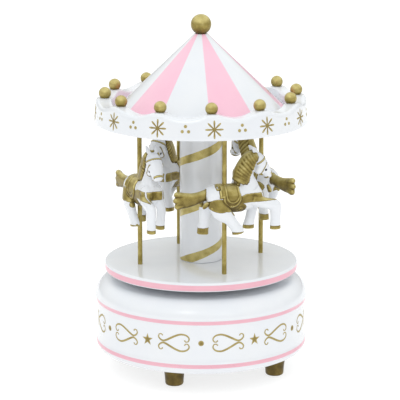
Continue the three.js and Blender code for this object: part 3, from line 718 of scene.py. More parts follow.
# ------------------------------------------------------------------ printed ornaments
class Ornament:
    """Thin printed shapes laid on a round wall.

    Args:
        radius_at: Gives the wall's radius at a height and a bearing, in millimetres and degrees.
        lift: How far the print stands off the wall.
    """

    DEPTH = 0.1  # thickness of a print, partly sunk in the wall

    def __init__(self, radius_at: Callable[[float, float], float], lift: float = 0.045) -> None:
        self.radius_at = radius_at
        self.lift = lift
        self.draft = Draft()

    def wrap(self, along: float, up: float, bearing: float, level: float, proud: float) -> Point3:
        """Lays a flat point on the wall.

        Args:
            along: How far it is to the right of the drawing's middle.
            up: How far it is above the drawing's middle.
            bearing: Where the drawing's middle goes, in degrees from the front.
            level: The height of the drawing's middle.
            proud: How far the point stands off the wall.

        Returns:
            Its place.
        """
        height = level + up
        about = self.radius_at(height, bearing)
        radius = self.radius_at(height, bearing + math.degrees(along / about))
        x, y = around(radius + proud, bearing + math.degrees(along / radius))
        return x, y, height

    def patch(self, outline: Sequence[Point2], bearing: float, level: float, rings: int = 3) -> None:
        """Prints a filled shape that its own middle can see all of.

        Args:
            outline: Its edge, about its middle.
            bearing: Where its middle goes, in degrees from the front.
            level: Its middle's height.
            rings: How many rings of faces follow the wall's curve.
        """
        shares = [share / rings for share in range(1, rings + 1)]
        rows = [
            [self.wrap(share * x, share * y, bearing, level, proud) for x, y in outline]
            for proud, run in ((self.lift - self.DEPTH, shares), (self.lift, shares[::-1]))
            for share in run
        ]
        self.draft.bar(rows)

    def stroke(self, path: np.ndarray, widths: np.ndarray, bearing: float, level: float) -> None:
        """Prints a pen stroke with round-looking ends.

        Args:
            path: Points along its middle.
            widths: Its width at each point.
            bearing: Where the drawing's middle goes, in degrees from the front.
            level: The drawing's height.
        """
        ahead = np.gradient(path, axis=0)
        ahead /= np.linalg.norm(ahead, axis=1)[:, None]
        side = np.stack([-ahead[:, 1], ahead[:, 0]], axis=1) * widths[:, None] / 2
        rows = []
        for left, right in zip(path + side, path - side):
            rows.append([
                self.wrap(*left, bearing, level, self.lift),
                self.wrap(*right, bearing, level, self.lift),
                self.wrap(*right, bearing, level, self.lift - self.DEPTH),
                self.wrap(*left, bearing, level, self.lift - self.DEPTH),
            ])
        self.draft.bar(rows)


def disc_outline(radius: float, count: int = 20) -> list[Point2]:
    """The edge of a round dot."""
    return arc((0, 0), (radius, radius), 0, 360, count)[:-1]


def star_outline(points: int, outer: float, inner: float, stretch: float = 1) -> list[Point2]:
    """The edge of a pointed star with one point up.

    Args:
        points: How many points it has.
        outer: Its radius to the points.
        inner: Its radius to the hollows.
        stretch: Its height over its width.

    Returns:
        The edge.
    """
    edge = []
    for index in range(2 * points):
        angle = math.pi / 2 + math.pi * index / points
        radius = inner if index % 2 else outer
        edge.append((radius * math.cos(angle), stretch * radius * math.sin(angle)))
    return edge


def asterisk_outline(rays: int, reach: float, hub: float, width: float) -> list[Point2]:
    """The edge of an asterisk with spindle-shaped rays.

    Args:
        rays: How many rays it has.
        reach: Its radius to the rays' tips.
        hub: Its radius between the rays.
        width: The rays' greatest width.

    Returns:
        The edge.
    """
    edge = []
    half_pitch = math.pi / rays
    for ray in range(rays):
        middle = 2 * half_pitch * ray + math.pi / 2
        edge.append((hub * math.cos(middle - half_pitch), hub * math.sin(middle - half_pitch)))
        flank = [(0.45, 0.36), (0.72, 0.5), (0.92, 0.36), (1.0, 0.12)]
        for sign, run in ((-1, flank), (1, flank[::-1])):
            for share, half in run:
                along, across = reach * share, sign * width * half
                edge.append((
                    along * math.cos(middle) - across * math.sin(middle),
                    along * math.sin(middle) + across * math.cos(middle),
                ))
    return edge


# ------------------------------------------------------------------ base
class Band(IntEnum):
    """Which of its piece's paints a turned band or a sector has."""

    PLAIN = 0
    LINE = 1


@dataclass
class Base:
    """The round housing with its painted ornaments, feet and bottom cover.

    Attributes:
        wall_radius: Radius of the wall at its slimmest.
        flare_radius: Radius of the wall's lower edge.
        under_radius: Radius where the lower curve ends.
        rim: Thickness of the rim round the bottom cover.
        lower_line: Heights of the lower pink line.
        upper_line: Heights of the upper pink line.
        curve_top: Height where the lower curve ends.
        shoulder: Width and height of the rolled shoulder.
        inside_radius: Radius of the room for the movement.
        deck: Thickness of the deck over the movement.
        cover: Thickness of the bottom cover.
        cover_hole: Radius of the key's hole in the bottom cover.
        foot_round: How round the feet's lower edges are.
        stud: Radius and length of the studs on the feet.
        feet: How many feet there are.
        period: Degrees between two dots of the ornament.
        ornament_level: Height of the ornament's middle.
        heart_offset: Degrees from a dot to the middle of the heart beside it.
        bottom: Height of the housing's lower edge.
        top: Height of its deck.
        lip_radius: Its greatest radius.
    """

    wall_radius: float = 51.25
    flare_radius: float = 52.1
    under_radius: float = 47.5
    rim: float = 1.9
    lower_line: Point2 = (14.0, 16.2)
    upper_line: Point2 = (35.9, 37.8)
    curve_top: float = 15.0
    shoulder: Point2 = (8.0, 8.7)
    inside_radius: float = 48
    deck: float = 3
    cover: float = 3
    cover_hole: float = 3.9
    foot_round: float = 1.2
    stud: Point2 = (1.8, 4.2)
    feet: int = 4
    period: float = 60
    ornament_level: float = 26.8
    heart_offset: float = 14.8
    bottom: float = field(default_factory=lambda: low_mm("base_housing"))
    top: float = field(default_factory=lambda: top_mm("base_housing"))
    lip_radius: float = field(default_factory=lambda: half_mm("base_housing"))

    def wall_at(self, height: float, bearing: float = 0) -> float:
        """The wall's radius at a height between the pink lines, the same at every bearing."""
        low = (self.flare_radius - 0.15 - self.wall_radius) * math.exp(-(height - self.lower_line[1]) / 1.5)
        high = (self.lip_radius - 0.5 - self.wall_radius) * math.exp(-(self.upper_line[0] - height) / 1.7)
        return self.wall_radius + low + high

    def build(self) -> None:
        """Makes every piece of the base."""
        self.build_housing()
        self.build_ornaments()
        self.build_cover()
        self.build_feet()

    def build_housing(self) -> None:
        """Turns the housing with its two painted lines."""
        lower = arc(
            (self.under_radius, self.curve_top),
            (self.flare_radius - self.under_radius, self.curve_top - self.bottom), -90, 0, 20,
        )
        profile: list[Sequence[float]] = [(self.under_radius - self.rim, self.bottom)]
        profile += [(r, z, Band.LINE if z >= self.lower_line[0] else Band.PLAIN) for r, z in lower]
        profile.append((self.flare_radius - 0.12, self.lower_line[1]))
        heights = np.linspace(self.lower_line[1] + 0.35, self.upper_line[0], 26)
        profile += [(self.wall_at(z), z) for z in heights[:-1]]
        profile.append((self.wall_at(heights[-1]), heights[-1], Band.LINE))
        profile.append((self.lip_radius - 0.32, self.upper_line[1] - 0.7, Band.LINE))
        profile.append((self.lip_radius - 0.12, self.upper_line[1]))
        lip = self.top - self.shoulder[1]
        profile += arc((self.lip_radius - self.shoulder[0], lip), self.shoulder, 0, 90, 18)
        bush = half_mm("deck_bush") - 1.3
        under_deck = self.top - self.deck
        profile += [(bush, self.top), (bush, under_deck), (self.inside_radius, under_deck)]
        profile += [(self.inside_radius, 17.2), (self.under_radius - self.rim, 14.2)]
        mesh = Turned(profile, 160, closed=True).draft().mesh("base_shell")
        Workshop.finish("base_shell", mesh, "base", "white_shell", [WHITE, PINK_LINE], ["base_housing"])

    def heart_strand(self, side: int) -> tuple[np.ndarray, np.ndarray]:
        """One of the two pen strokes of a lying heart.

        Args:
            side: 1 for the upper stroke, -1 for the lower.

        Returns:
            Its path, with the lobes towards +X, and its widths.
        """
        path = smooth_path([
            (-5.5, 3.0), (-6.1, 3.75), (-7.2, 3.5), (-7.6, 2.3), (-6.7, 1.1), (-5.2, 0.5), (-3.6, 1.0),
            (-1.5, 2.1), (1.1, 3.4), (3.6, 4.15), (6.1, 3.75), (7.5, 2.3), (7.1, 0.8), (5.9, 0.55),
            (5.3, 1.3),
        ], 6)
        share = np.linspace(0, 1, len(path))
        blobs = ease(share, 0.06, 0) + ease(share, 0.94, 1)
        widths = 0.48 + 0.5 * np.sin(np.pi * share) ** 2 + 0.22 * blobs
        path[:, 1] *= side
        return path, widths

    def build_ornaments(self) -> None:
        """Prints the row of dots, lying hearts and stars round the wall."""
        print_run = Ornament(self.wall_at)
        for index in range(round(360 / self.period)):
            bearing = self.period * index
            print_run.patch(disc_outline(1.35), bearing, self.ornament_level)
            star = star_outline(5, 2.95, 1.2, 1.06)
            print_run.patch(star, bearing + self.period / 2, self.ornament_level)
            for hand in (1, -1):
                for side in (1, -1):
                    path, widths = self.heart_strand(side)
                    path[:, 0] *= -hand
                    middle = bearing + hand * self.heart_offset
                    print_run.stroke(path, widths, middle, self.ornament_level)
        mesh = print_run.draft.mesh("base_ornaments")
        Workshop.finish("base_ornaments", mesh, "base", "gold_paint", [PRINT_GOLD])

    def build_cover(self) -> None:
        """Turns the bottom cover with its stiffening rings."""
        radius, bottom = half_mm("bottom_cover"), low_mm("bottom_cover")
        top, hole = bottom + self.cover, self.cover_hole
        profile = [(hole, bottom + 0.3), (hole + 0.3, bottom)]
        for inner, outer, depth, slope in ((9, 12.3, 0.5, 0.3), (31, 32.2, 0.4, 0.2)):
            profile += [(inner, bottom), (inner + slope, bottom + depth)]
            profile += [(outer - slope, bottom + depth), (outer, bottom)]
        profile += [(radius - 0.5, bottom), (radius, bottom + 0.4), (radius, top), (hole, top)]
        mesh = Turned(profile, 128, closed=True).draft().mesh("cover_plate")
        Workshop.finish("cover_plate", mesh, "base", "grey_cover", [GREY], ["bottom_cover"])

    def build_feet(self) -> None:
        """Turns the four feet."""
        top, half = low_mm("bottom_cover") - 0.1, half_mm("foot_1")
        sole, bevel = 3.3, self.foot_round
        stud, stud_top = self.stud[0], top + self.stud[1]
        profile = [(0, 0), (sole, 0), *arc((sole, bevel), (bevel, bevel), -90, 0, 7)]
        profile += [(4.62, 3), (4.85, 5.4), (half - 0.12, top - 2.4), (half, top - 1)]
        profile += [(half - 0.1, top - 0.3), (half - 0.4, top), (stud, top), (stud, stud_top), (0, stud_top)]
        mesh = Turned(profile, 48).draft().mesh("foot_turning")
        for number in range(1, self.feet + 1):
            node = f"foot_{number}"
            place = centre_of(node)
            Workshop.finish(f"turned_{node}", mesh, "base", "dark_gold", [DARK_GOLD], [node], place)


# ------------------------------------------------------------------ turntable, column and poles
@dataclass
class Turntable:
    """The turntable, its column and the four poles.

    Attributes:
        line: Share of the edge's height where its pink band starts and ends.
        edge_round: How round the edge is.
        hub_radius: Radius of the turntable's middle hole.
        column_bevel: How far the column's ends are bevelled.
        band_width: Height of the column's gold band.
        band_lead: How far the band climbs in one turn.
        band_start: The band's height over the turntable at the front.
        band_steps: How many steps the band has in one turn.
        band_wander: How unsteady each step of the band's edges is.
        band_swell: How much the band's width swells and shrinks.
        poles: How many poles there are.
        pole_swell: Share of the radius and rate of each unevenness of a pole's paint.
        radius: The turntable's radius.
        bottom: Height of its underside.
        top: Height of its top.
    """

    line: Point2 = (0.12, 0.74)
    edge_round: float = 1.1
    hub_radius: float = 2.3
    column_bevel: float = 0.25
    band_width: float = 4.3
    band_lead: float = 25.1
    band_start: float = 4.4
    band_steps: int = 96
    band_wander: float = 0.035
    band_swell: float = 0.12
    poles: int = 4
    pole_swell: tuple[Point2, ...] = ((0.018, 2.1), (0.012, 5.3))
    radius: float = field(default_factory=lambda: half_mm("turntable"))
    bottom: float = field(default_factory=lambda: low_mm("turntable"))
    top: float = field(default_factory=lambda: top_mm("turntable"))

    def build(self) -> None:
        """Makes every piece from the turntable up to the canopy, the horses apart."""
        self.build_plate()
        self.build_column()
        self.build_poles()

    def build_plate(self) -> None:
        """Turns the plate with its pink edge."""
        height = self.top - self.bottom
        low, high = (self.bottom + share * height for share in self.line)
        edge = self.radius - self.edge_round
        under = arc((edge, self.bottom + self.edge_round), (self.edge_round,) * 2, -90, 0, 10)
        over = arc((edge, self.top - self.edge_round), (self.edge_round,) * 2, 0, 90, 10)
        over = [(self.radius, high - 0.01), (self.radius, high), *over]
        profile: list[Sequence[float]] = [(radius, self.bottom) for radius in (self.hub_radius, 12, 40)]
        profile += [(radius, z, Band.LINE if z >= low else Band.PLAIN) for radius, z in under]
        profile += [(radius, z, Band.LINE if z < high else Band.PLAIN) for radius, z in over]
        profile += [(radius, self.top) for radius in (*range(44, 3, -4), self.hub_radius)]
        mesh = Turned(profile, 160, closed=True).draft().mesh("turntable_plate")
        Workshop.finish("turntable_plate", mesh, "carousel", "white_shell", [WHITE, PINK_LINE], ["turntable"])

    def build_column(self) -> None:
        """Turns the column and lays its climbing gold band."""
        radius, low, high = half_mm("column"), low_mm("column"), top_mm("column")
        bevel = self.column_bevel
        profile = [(0, low), (radius - bevel, low)]
        profile += [(radius, z) for z in np.linspace(low + bevel, high - bevel, 12)]
        profile += [(radius - bevel, high), (0, high)]
        mesh = Turned(profile, 96).draft().mesh("column_tube")
        Workshop.finish("column_tube", mesh, "carousel", "white_shell", [WHITE], ["column"])
        band = Ornament(lambda height, bearing: radius, 0.05)
        steps = self.band_steps
        wander = np.random.default_rng(7)
        turns = math.ceil((high - low) / self.band_lead) + 1
        rough = np.cumsum(wander.normal(0, self.band_wander, (steps * turns + 1, 2)), axis=0)
        rough -= smooth_path(rough[::24], 24)[:len(rough)]
        rows = []
        for step in range(-steps // 2, steps * turns - steps // 2):
            bearing = 360 * step / steps
            middle = self.top + self.band_start + self.band_lead * bearing / 360
            swell = self.band_swell * math.sin(math.radians(2.3 * bearing))
            edges = [
                middle - self.band_width / 2 + swell + rough[step][0],
                middle + self.band_width / 2 - swell + rough[step][1],
            ]
            levels = [min(max(level, low + 0.3), high - 0.3) for level in edges]
            if levels[1] - levels[0] > 0.15:
                out = [band.wrap(0, level, bearing, 0, band.lift) for level in levels]
                inside = [band.wrap(0, level, bearing, 0, band.lift - band.DEPTH) for level in levels[::-1]]
                rows.append([*out, *inside])
        band.draft.bar(rows)
        Workshop.finish("column_band", band.draft.mesh("column_band"), "carousel", "gold_paint", [GOLD])

    def build_poles(self) -> None:
        """Turns the poles, slightly uneven under their paint."""
        radius, low, high = half_mm("pole_1"), low_mm("pole_1"), top_mm("pole_1")
        profile = [(0, low)]
        for z in np.linspace(low, high, 60):
            swell = sum(share * math.sin(rate * z) for share, rate in self.pole_swell)
            profile.append((radius * (1 + swell), z))
        profile.append((0, high))
        mesh = Turned(profile, 24).draft().mesh("pole_rod")
        for number in range(1, self.poles + 1):
            node = f"pole_{number}"
            place = centre_of(node)
            Workshop.finish(f"painted_{node}", mesh, "carousel", "gold_paint", [GOLD], [node], place)


# ------------------------------------------------------------------ canopy
@dataclass
class Canopy:
    """The scalloped crown with its ceiling, the striped roof and the balls.

    Attributes:
        scallops: How many waves the crown has.
        first_peak: Bearing of the first wave's top.
        peak_rise: Height of a wave.
        valley: Height of the hollows above the rim.
        wall: Thickness of the crown's upper wall.
        ceiling: Height of the ceiling's underside above the rim.
        ceiling_thickness: Thickness of the ceiling.
        ceiling_radius: Radius of the ceiling's underside.
        edge_round: How round the crown's upper edge is.
        print_level: Height of the prints' middles above the rim.
        print_shift: Degrees that the prints are off the waves.
        level_part: Height of the crown's foot that doesn't wave.
        roof_tip: Radius of the roof's flat top, and its thickness there.
        stripe_edges: Bearings where the roof's hand-masked paint changes, pink first.
        ball: Radius of the crown's balls, and how much of the round their seat takes off.
        finial: The same of the large ball on the roof.
        rim: Height of the crown's lower edge.
        radius: The crown's radius.
    """

    scallops: int = 12
    first_peak: float = 6
    peak_rise: float = 2.4
    valley: float = 9.9
    wall: float = 7.2
    ceiling: float = 2.1
    ceiling_thickness: float = 3
    ceiling_radius: float = 49
    edge_round: float = 1.3
    print_level: float = 5.5
    print_shift: float = 0.9
    level_part: float = 2
    roof_tip: float = 3.2
    stripe_edges: tuple[float, ...] = (-61.5, -29, 6, 38.5, 78.5, 113.5, 151, 186, 223.5, 261)
    ball: Point2 = (3, 0.9)
    finial: Point2 = (5, 0.6)
    rim: float = field(default_factory=lambda: low_mm("canopy_crown"))
    radius: float = field(default_factory=lambda: half_mm("canopy_crown"))

    def __post_init__(self) -> None:
        self.top_radius = self.radius - 1
        self.valley_level = self.rim + self.valley
        self.wave_foot = self.rim + self.level_part
        self.wave_run = self.valley_level - self.edge_round - self.wave_foot

    def face_at(self, height: float, bearing: float | None = None) -> float:
        """The crown's outer radius.

        Args:
            height: The height where it is wanted.
            bearing: The bearing, or None if the height is that before the edge is lifted into waves.

        Returns:
            The radius.
        """
        if bearing is not None and height > self.wave_foot:
            stretch = 1 + self.wave(bearing) / self.wave_run
            height = self.wave_foot + (height - self.wave_foot) / stretch
        share = (height - self.rim - 0.6) / (self.valley - 0.6)
        return self.radius + (self.top_radius - self.radius) * share

    def wave(self, bearing: float) -> float:
        """Height of the crown's edge above its hollows at a bearing."""
        pitch = 360 / self.scallops
        share = abs((bearing - self.first_peak + pitch / 2) % pitch - pitch / 2) / (pitch / 2)
        if share < 0.2:
            return self.peak_rise * (1 - 0.35 * share)
        run = (1 - share) / 0.8
        return self.peak_rise * 0.93 * run ** 1.9

    def build(self) -> None:
        """Makes every piece of the canopy."""
        self.build_crown()
        self.build_prints()
        self.build_roof()
        self.build_balls()

    def build_crown(self) -> None:
        """Turns the crown and lifts its edge into waves."""
        edge, outer, inner = self.edge_round, self.top_radius, self.top_radius - self.wall
        top, ceiling = self.valley_level, self.rim + self.ceiling
        skirt, ceiling_top = self.ceiling_radius, ceiling + self.ceiling_thickness
        profile = [(radius, ceiling) for radius in (0, 11, 30, skirt - 0.4)]
        profile += [(skirt, ceiling - 0.4), (skirt, self.rim + 0.3), (skirt + 0.3, self.rim)]
        profile += arc((self.radius - 0.6, self.rim + 0.6), (0.6, 0.6), -90, 0, 5)
        profile += [(self.face_at(z), z) for z in np.linspace(self.rim + 1.5, top - edge, 10)]
        profile += arc((outer - edge, top - edge), (edge, edge), 10, 90, 8)
        profile += arc((inner + edge, top - edge), (edge, edge), 90, 180, 8)
        profile += [(inner, top - 3), (inner, ceiling_top + 0.2)]
        profile += [(inner - 0.3, ceiling_top), (0, ceiling_top)]

        def lift(bearing: float, radius: float, height: float) -> float:
            """Height to add so that the edge waves and the rim stays level."""
            if radius < inner - 0.01 or height < self.wave_foot:
                return 0
            return self.wave(bearing) * min(1, (height - self.wave_foot) / self.wave_run)

        mesh = Turned(profile, self.scallops * 20, self.first_peak).draft(lift).mesh("crown_ring")
        Workshop.finish("crown_ring", mesh, "carousel", "white_shell", [WHITE], ["canopy_crown"])

    def build_prints(self) -> None:
        """Prints an asterisk under each ball and three dots under each hollow."""
        prints = Ornament(self.face_at)
        level = self.rim + self.print_level
        pitch = 360 / self.scallops
        for index in range(self.scallops):
            bearing = self.first_peak + self.print_shift + pitch * index
            prints.patch(asterisk_outline(8, 4.35, 0.85, 0.95), bearing, level, 4)
            for across, up in ((0, 1.45), (-1.5, -0.95), (1.5, -0.95)):
                shift = math.degrees(across / self.radius)
                prints.patch(disc_outline(0.78, 14), bearing + pitch / 2 + shift, level + up, 2)
        mesh = prints.draft.mesh("crown_prints")
        Workshop.finish("crown_prints", mesh, "carousel", "gold_paint", [PRINT_GOLD])

    def build_roof(self) -> None:
        """Turns the roof and paints every second sector pink."""
        low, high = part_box("canopy_roof")
        bottom, top, eave = low.z / MM, high.z / MM, half_mm("canopy_roof")
        profile = [(0, top - self.roof_tip), (eave - 1.6, bottom), (eave - 0.3, bottom)]
        profile += [(eave, bottom + 0.3), (eave, bottom + 0.6)]
        slope_radius, slope_foot = eave - 0.35, bottom + 0.9
        for share in np.linspace(0, 1, 15):
            radius = slope_radius + (self.roof_tip - slope_radius) * share
            profile.append((radius, slope_foot + (top - slope_foot) * share))
        profile.append((0, top))

        def stripe(bearing: float) -> int:
            """Paint number of the sector at a bearing."""
            turned = (bearing - self.stripe_edges[0]) % 360 + self.stripe_edges[0]
            return sum(turned > edge for edge in self.stripe_edges) % 2

        mesh = Turned(profile, self.scallops * 12, self.first_peak).draft(sector=stripe).mesh("roof_cone")
        Workshop.finish("roof_cone", mesh, "carousel", "pink_roof", [WHITE, PINK], ["canopy_roof"])

    def ball_mesh(self, name: str, radius: float, sink: float, segments: int) -> bpy.types.Mesh:
        """Turns a ball with a flat seat and a narrow neck of dried paint.

        Args:
            name: The mesh's name.
            radius: The ball's radius.
            sink: How much of the round the seat takes off.
            segments: How many flats go round.

        Returns:
            The mesh.
        """
        seat = -math.degrees(math.asin((radius - sink) / radius))
        round_part = arc((0, radius - sink), (radius, radius), seat, 90, segments // 2)
        foot = round_part[0][0]
        profile = [(0, 0), (1.06 * foot, 0), (1.08 * foot, 0.12), *round_part[1:-1], (0, 2 * radius - sink)]
        return Turned(profile, segments).draft().mesh(name)

    def build_balls(self) -> None:
        """Sets the balls on the crown and the finial on the roof."""
        small = self.ball_mesh("crown_ball_turning", *self.ball, 32)
        for number in range(1, self.scallops + 1):
            node = f"crown_ball_{number}"
            place = centre_of(node, low_mm(node)) @ Matrix.Rotation(2.4 * number, 4, "Z")
            Workshop.finish(f"painted_{node}", small, "carousel", "gold_paint", [GOLD], [node], place)
        large = self.ball_mesh("finial_turning", *self.finial, 48)
        place = centre_of("finial_ball", low_mm("finial_ball"))
        Workshop.finish("painted_finial", large, "carousel", "gold_paint", [GOLD], ["finial_ball"], place)


# ------------------------------------------------------------------ horses
@dataclass(frozen=True)
class Limb:
    """A smooth tube with oval sections, one stage of the sculpting.

    Attributes:
        stations: Rows of forward, left, up, half depth and half width, in millimetres.
        gilded: True if the tube is painted gold.
        steps: How many sections lie between two stations.
        sides: How many flats a section has.
    """

    stations: tuple[tuple[float, float, float, float, float], ...]
    gilded: bool = False
    steps: int = 5
    sides: int = 20

    def add_to(self, draft: Draft) -> None:
        """Skins the tube into a draft."""
        run = smooth_path(self.stations, self.steps)
        middle = run[:, :3]
        ahead = np.gradient(middle, axis=0)
        ahead /= np.linalg.norm(ahead, axis=1)[:, None]
        across = np.array([0.0, 1.0, 0.0])
        rows = []
        for centre, way, (depth, width) in zip(middle, ahead, run[:, 3:]):
            flank = across - way * (across @ way)
            flank /= np.linalg.norm(flank)
            out = np.cross(way, flank)
            angles = np.linspace(0, 2 * np.pi, self.sides, endpoint=False)
            ring = centre + np.outer(np.cos(angles) * max(depth, 0.05), out)
            rows.append(ring + np.outer(np.sin(angles) * max(width, 0.05), flank))
        draft.bar(rows)


def mirrored(limbs: Sequence[Limb]) -> list[Limb]:
    """The limbs and their mirror images on the other side of the horse."""
    both = list(limbs)
    for limb in limbs:
        flipped = tuple((row[0], -row[1], *row[2:]) for row in limb.stations)
        both.append(Limb(flipped, limb.gilded, limb.steps, limb.sides))
    return both


@dataclass
class Horse:
    """A galloping horse, sculpted once and shared by all four.

    Its own frame has the pole at its middle, +X forwards, +Y to its left and the turntable at zero.

    Attributes:
        voxel: Size of the sculpting grid in millimetres.
        bearings: The poles' bearings, in degrees from the front.
        yaws: How far each horse turns in from the tangent, in degrees.
        soles: Each hoof's underside and how much of it is gold: right fore, left fore, right hind, left hind.
        locks: How many locks the mane has on each side.
        eye: Forward place, height and radius of the eyes.
    """

    GILT = "gilt"
    EYE = "eye"

    voxel: float = 0.3
    bearings: tuple[float, ...] = (20.5, 110.5, 200.5, 290.5)
    yaws: tuple[float, ...] = (0, 14, 34, 4)
    soles: tuple[Point2, ...] = ((21.4, 1.9), (20.6, 2.0), (20.8, 1.1), (19.6, 3.3))
    locks: int = 12
    eye: Point3 = (20.0, 50.6, 0.66)

    def body_limbs(self) -> list[Limb]:
        """The white forms: trunk, neck, head and legs."""
        trunk = Limb((
            (-9.7, 0, 38.2, 2.6, 3.4), (-8.0, 0, 38.5, 5.2, 5.3), (-4.6, 0, 38.3, 6.2, 5.8),
            (0.5, 0, 37.6, 6.7, 5.5), (6, 0, 37.4, 6.9, 5.3), (11, 0, 37.9, 6.9, 5.3),
            (15.2, 0, 38.4, 5.9, 5.0), (18.0, 0, 38.7, 3.9, 3.8),
        ))
        neck = Limb((
            (12.6, 0, 39.5, 6.0, 4.4), (11.6, 0, 43.5, 5.2, 3.8), (10.6, 0, 47.5, 4.3, 3.0),
            (11.4, 0, 51.8, 4.0, 2.8), (13.8, 0, 55.6, 3.6, 2.8), (15.8, 0, 57.6, 2.4, 2.4),
        ))
        head = Limb((
            (15.2, 0, 57.6, 2.0, 2.6), (16.6, 0, 56.2, 3.0, 3.5), (18.3, 0, 53.4, 3.5, 4.0),
            (20.2, 0, 50.8, 3.0, 3.6), (21.6, 0, 48.6, 2.4, 2.8), (22.5, 0, 47.1, 2.0, 2.5),
            (22.9, 0, 46.2, 1.2, 1.8),
        ))
        legs = [
            Limb((
                (13.5, -3, 36.6, 3.4, 2.8), (18.5, -4.2, 34.6, 2.7, 2.4), (22.5, -4.5, 33.6, 2.7, 2.3),
                (24.5, -4.5, 32.6, 3.1, 2.3), (24.7, -4.5, 28.0, 2.6, 2.1), (24.6, -4.5, 24.5, 2.6, 2.1),
                (24.6, -4.5, 22.6, 2.7, 2.15), (24.6, -4.5, self.soles[0][0], 2.8, 2.2),
            )),
            Limb((
                (14.8, 3, 36, 3.4, 2.8), (16.2, 4.2, 31.5, 2.7, 2.2), (15.6, 4.5, 27.6, 2.5, 2.1),
                (14.7, 4.5, 24.0, 2.6, 2.1), (14.3, 4.5, 22.2, 2.9, 2.2),
                (14.2, 4.5, self.soles[1][0], 3.0, 2.2),
            )),
            Limb((
                (-5.2, -2.6, 37.2, 4.4, 3.4), (-3.5, -4.2, 32.0, 4.3, 2.8), (0.2, -4.8, 28.8, 3.2, 2.3),
                (2.2, -4.8, 26.2, 2.7, 2.1), (4.0, -4.8, 23.8, 2.8, 2.1), (5.0, -4.8, 22.4, 3.0, 2.2),
                (5.3, -4.8, self.soles[2][0], 3.0, 2.2),
            )),
            Limb((
                (-6.0, 3, 36.5, 4.4, 3.2), (-7.6, 4.4, 31.6, 3.8, 2.6), (-8.4, 4.8, 27.5, 2.8, 2.2),
                (-8.5, 4.8, 24.4, 2.6, 2.1), (-9.1, 4.8, 22.6, 2.8, 2.2),
                (-9.4, 4.8, self.soles[3][0], 2.95, 2.2),
            )),
        ]
        sides = mirrored([
            Limb(((16.8, 1.4, 52.0, 2.2, 2.4), (17.6, 1.8, 50.6, 2.5, 2.2), (19.0, 1.5, 48.8, 1.9, 1.7))),
            Limb(((15.7, 1.8, 58.6, 1.3, 1.1), (14.5, 2.1, 60.6, 1.2, 0.8), (13.1, 2.2, 62.2, 0.4, 0.3))),
            Limb(((21.6, 1.2, 48.0, 0.9, 0.9), (22.7, 1.3, 47.1, 0.9, 0.9)), steps=3),
            Limb(((13.5, 2.4, 41, 3.6, 2.6), (15.2, 2.7, 38.4, 3.6, 2.7), (14.8, 2.6, 35.6, 3.2, 2.6))),
            Limb(((-6.8, 2.2, 40.6, 2.9, 2.7), (-5.4, 2.4, 38.4, 4.2, 3.2), (-4.4, 2.4, 35.6, 3.6, 2.9))),
        ])
        return [trunk, neck, head, *legs, *sides]

    def mane_limbs(self) -> list[Limb]:
        """The gold crest, the combed locks of the mane on both sides, and the tail."""
        crest = smooth_path([
            (15.6, 58.8), (14.2, 58.9), (12.3, 58.4), (10.4, 57.4), (8.9, 55.7), (7.3, 53.4), (6.2, 51.3),
            (5.6, 49.2), (5.3, 47.4), (4.6, 46.4),
        ], 10)
        fringe = smooth_path([
            (15.4, 57.4), (14.9, 56.0), (13.9, 54.0), (13.1, 52.0), (11.8, 49.6), (10.9, 48.0),
            (10.4, 46.4), (9.6, 45.2), (7.8, 45.0),
        ], 10)
        ridge = [(x, 0.0, z, 0.95, 1.7) for x, z in crest[::8]]
        limbs = [Limb(tuple(ridge), gilded=True)]
        for index in range(self.locks):
            share = (index + 0.5) / self.locks
            top = crest[round(share * (len(crest) - 1))]
            tip = fringe[round(share * (len(fringe) - 1))]
            middle = 0.5 * (top + tip) + np.array([-0.3, 0.15])
            end = tip + 0.1 * (tip - top) + np.array([0.15, -0.6])
            limbs += mirrored([Limb((
                (top[0], 1.0, top[1], 0.8, 0.75), (middle[0], 3.0, middle[1], 0.95, 0.8),
                (tip[0], 3.4, tip[1], 0.85, 0.75), (end[0], 3.2, end[1], 0.4, 0.4),
            ), gilded=True, steps=4, sides=12)])
        limbs.append(Limb((
            (-7.6, 0, 40.0, 2.7, 2.1), (-9.5, 0, 39.8, 2.7, 2.0), (-13.0, -0.4, 39.0, 2.8, 2.0),
            (-16.6, -0.7, 38.3, 3.2, 2.0), (-20.6, -1.0, 38.2, 3.8, 1.8), (-23.6, -1.1, 38.4, 4.1, 1.7),
            (-25.0, -1.1, 38.5, 3.7, 1.3),
        ), gilded=True))
        for height, reach in ((41.2, -25.9), (38.4, -26.3), (35.6, -25.6)):
            limbs.append(Limb((
                (-21.6, -1.0, 38.3 + 0.75 * (height - 38.4), 1.3, 1.6), (-23.8, -1.1, height - 0.1, 1.5, 1.7),
                (reach + 0.9, -1.1, height + 0.1, 1.4, 1.4), (reach, -1.1, height + 0.3, 0.8, 0.7),
            ), gilded=True, steps=5, sides=14))
        return limbs

    def tack_limbs(self) -> list[Limb]:
        """The gold saddle's raised seat and the bunched end of its blanket."""
        return [
            Limb((
                (-4.6, -3.9, 42.4, 0.7, 0.8), (-4.7, -2.0, 45.0, 0.9, 1.0), (-4.7, 0, 45.7, 0.9, 1.0),
                (-4.7, 2.0, 45.0, 0.9, 1.0), (-4.6, 3.9, 42.4, 0.7, 0.8),
            ), gilded=True),
            Limb((
                (6.2, -2.8, 44.0, 0.7, 0.8), (6.4, 0, 45.2, 0.9, 0.9), (6.2, 2.8, 44.0, 0.7, 0.8),
            ), gilded=True),
            *mirrored([Limb((
                (-9.4, 3.2, 36.6, 0.8, 0.8), (-10.4, 3.0, 35.6, 1.3, 0.8),
                (-11.1, 2.6, 34.6, 1.2, 0.8), (-11.6, 2.3, 33.6, 0.5, 0.5),
            ), gilded=True)]),
        ]

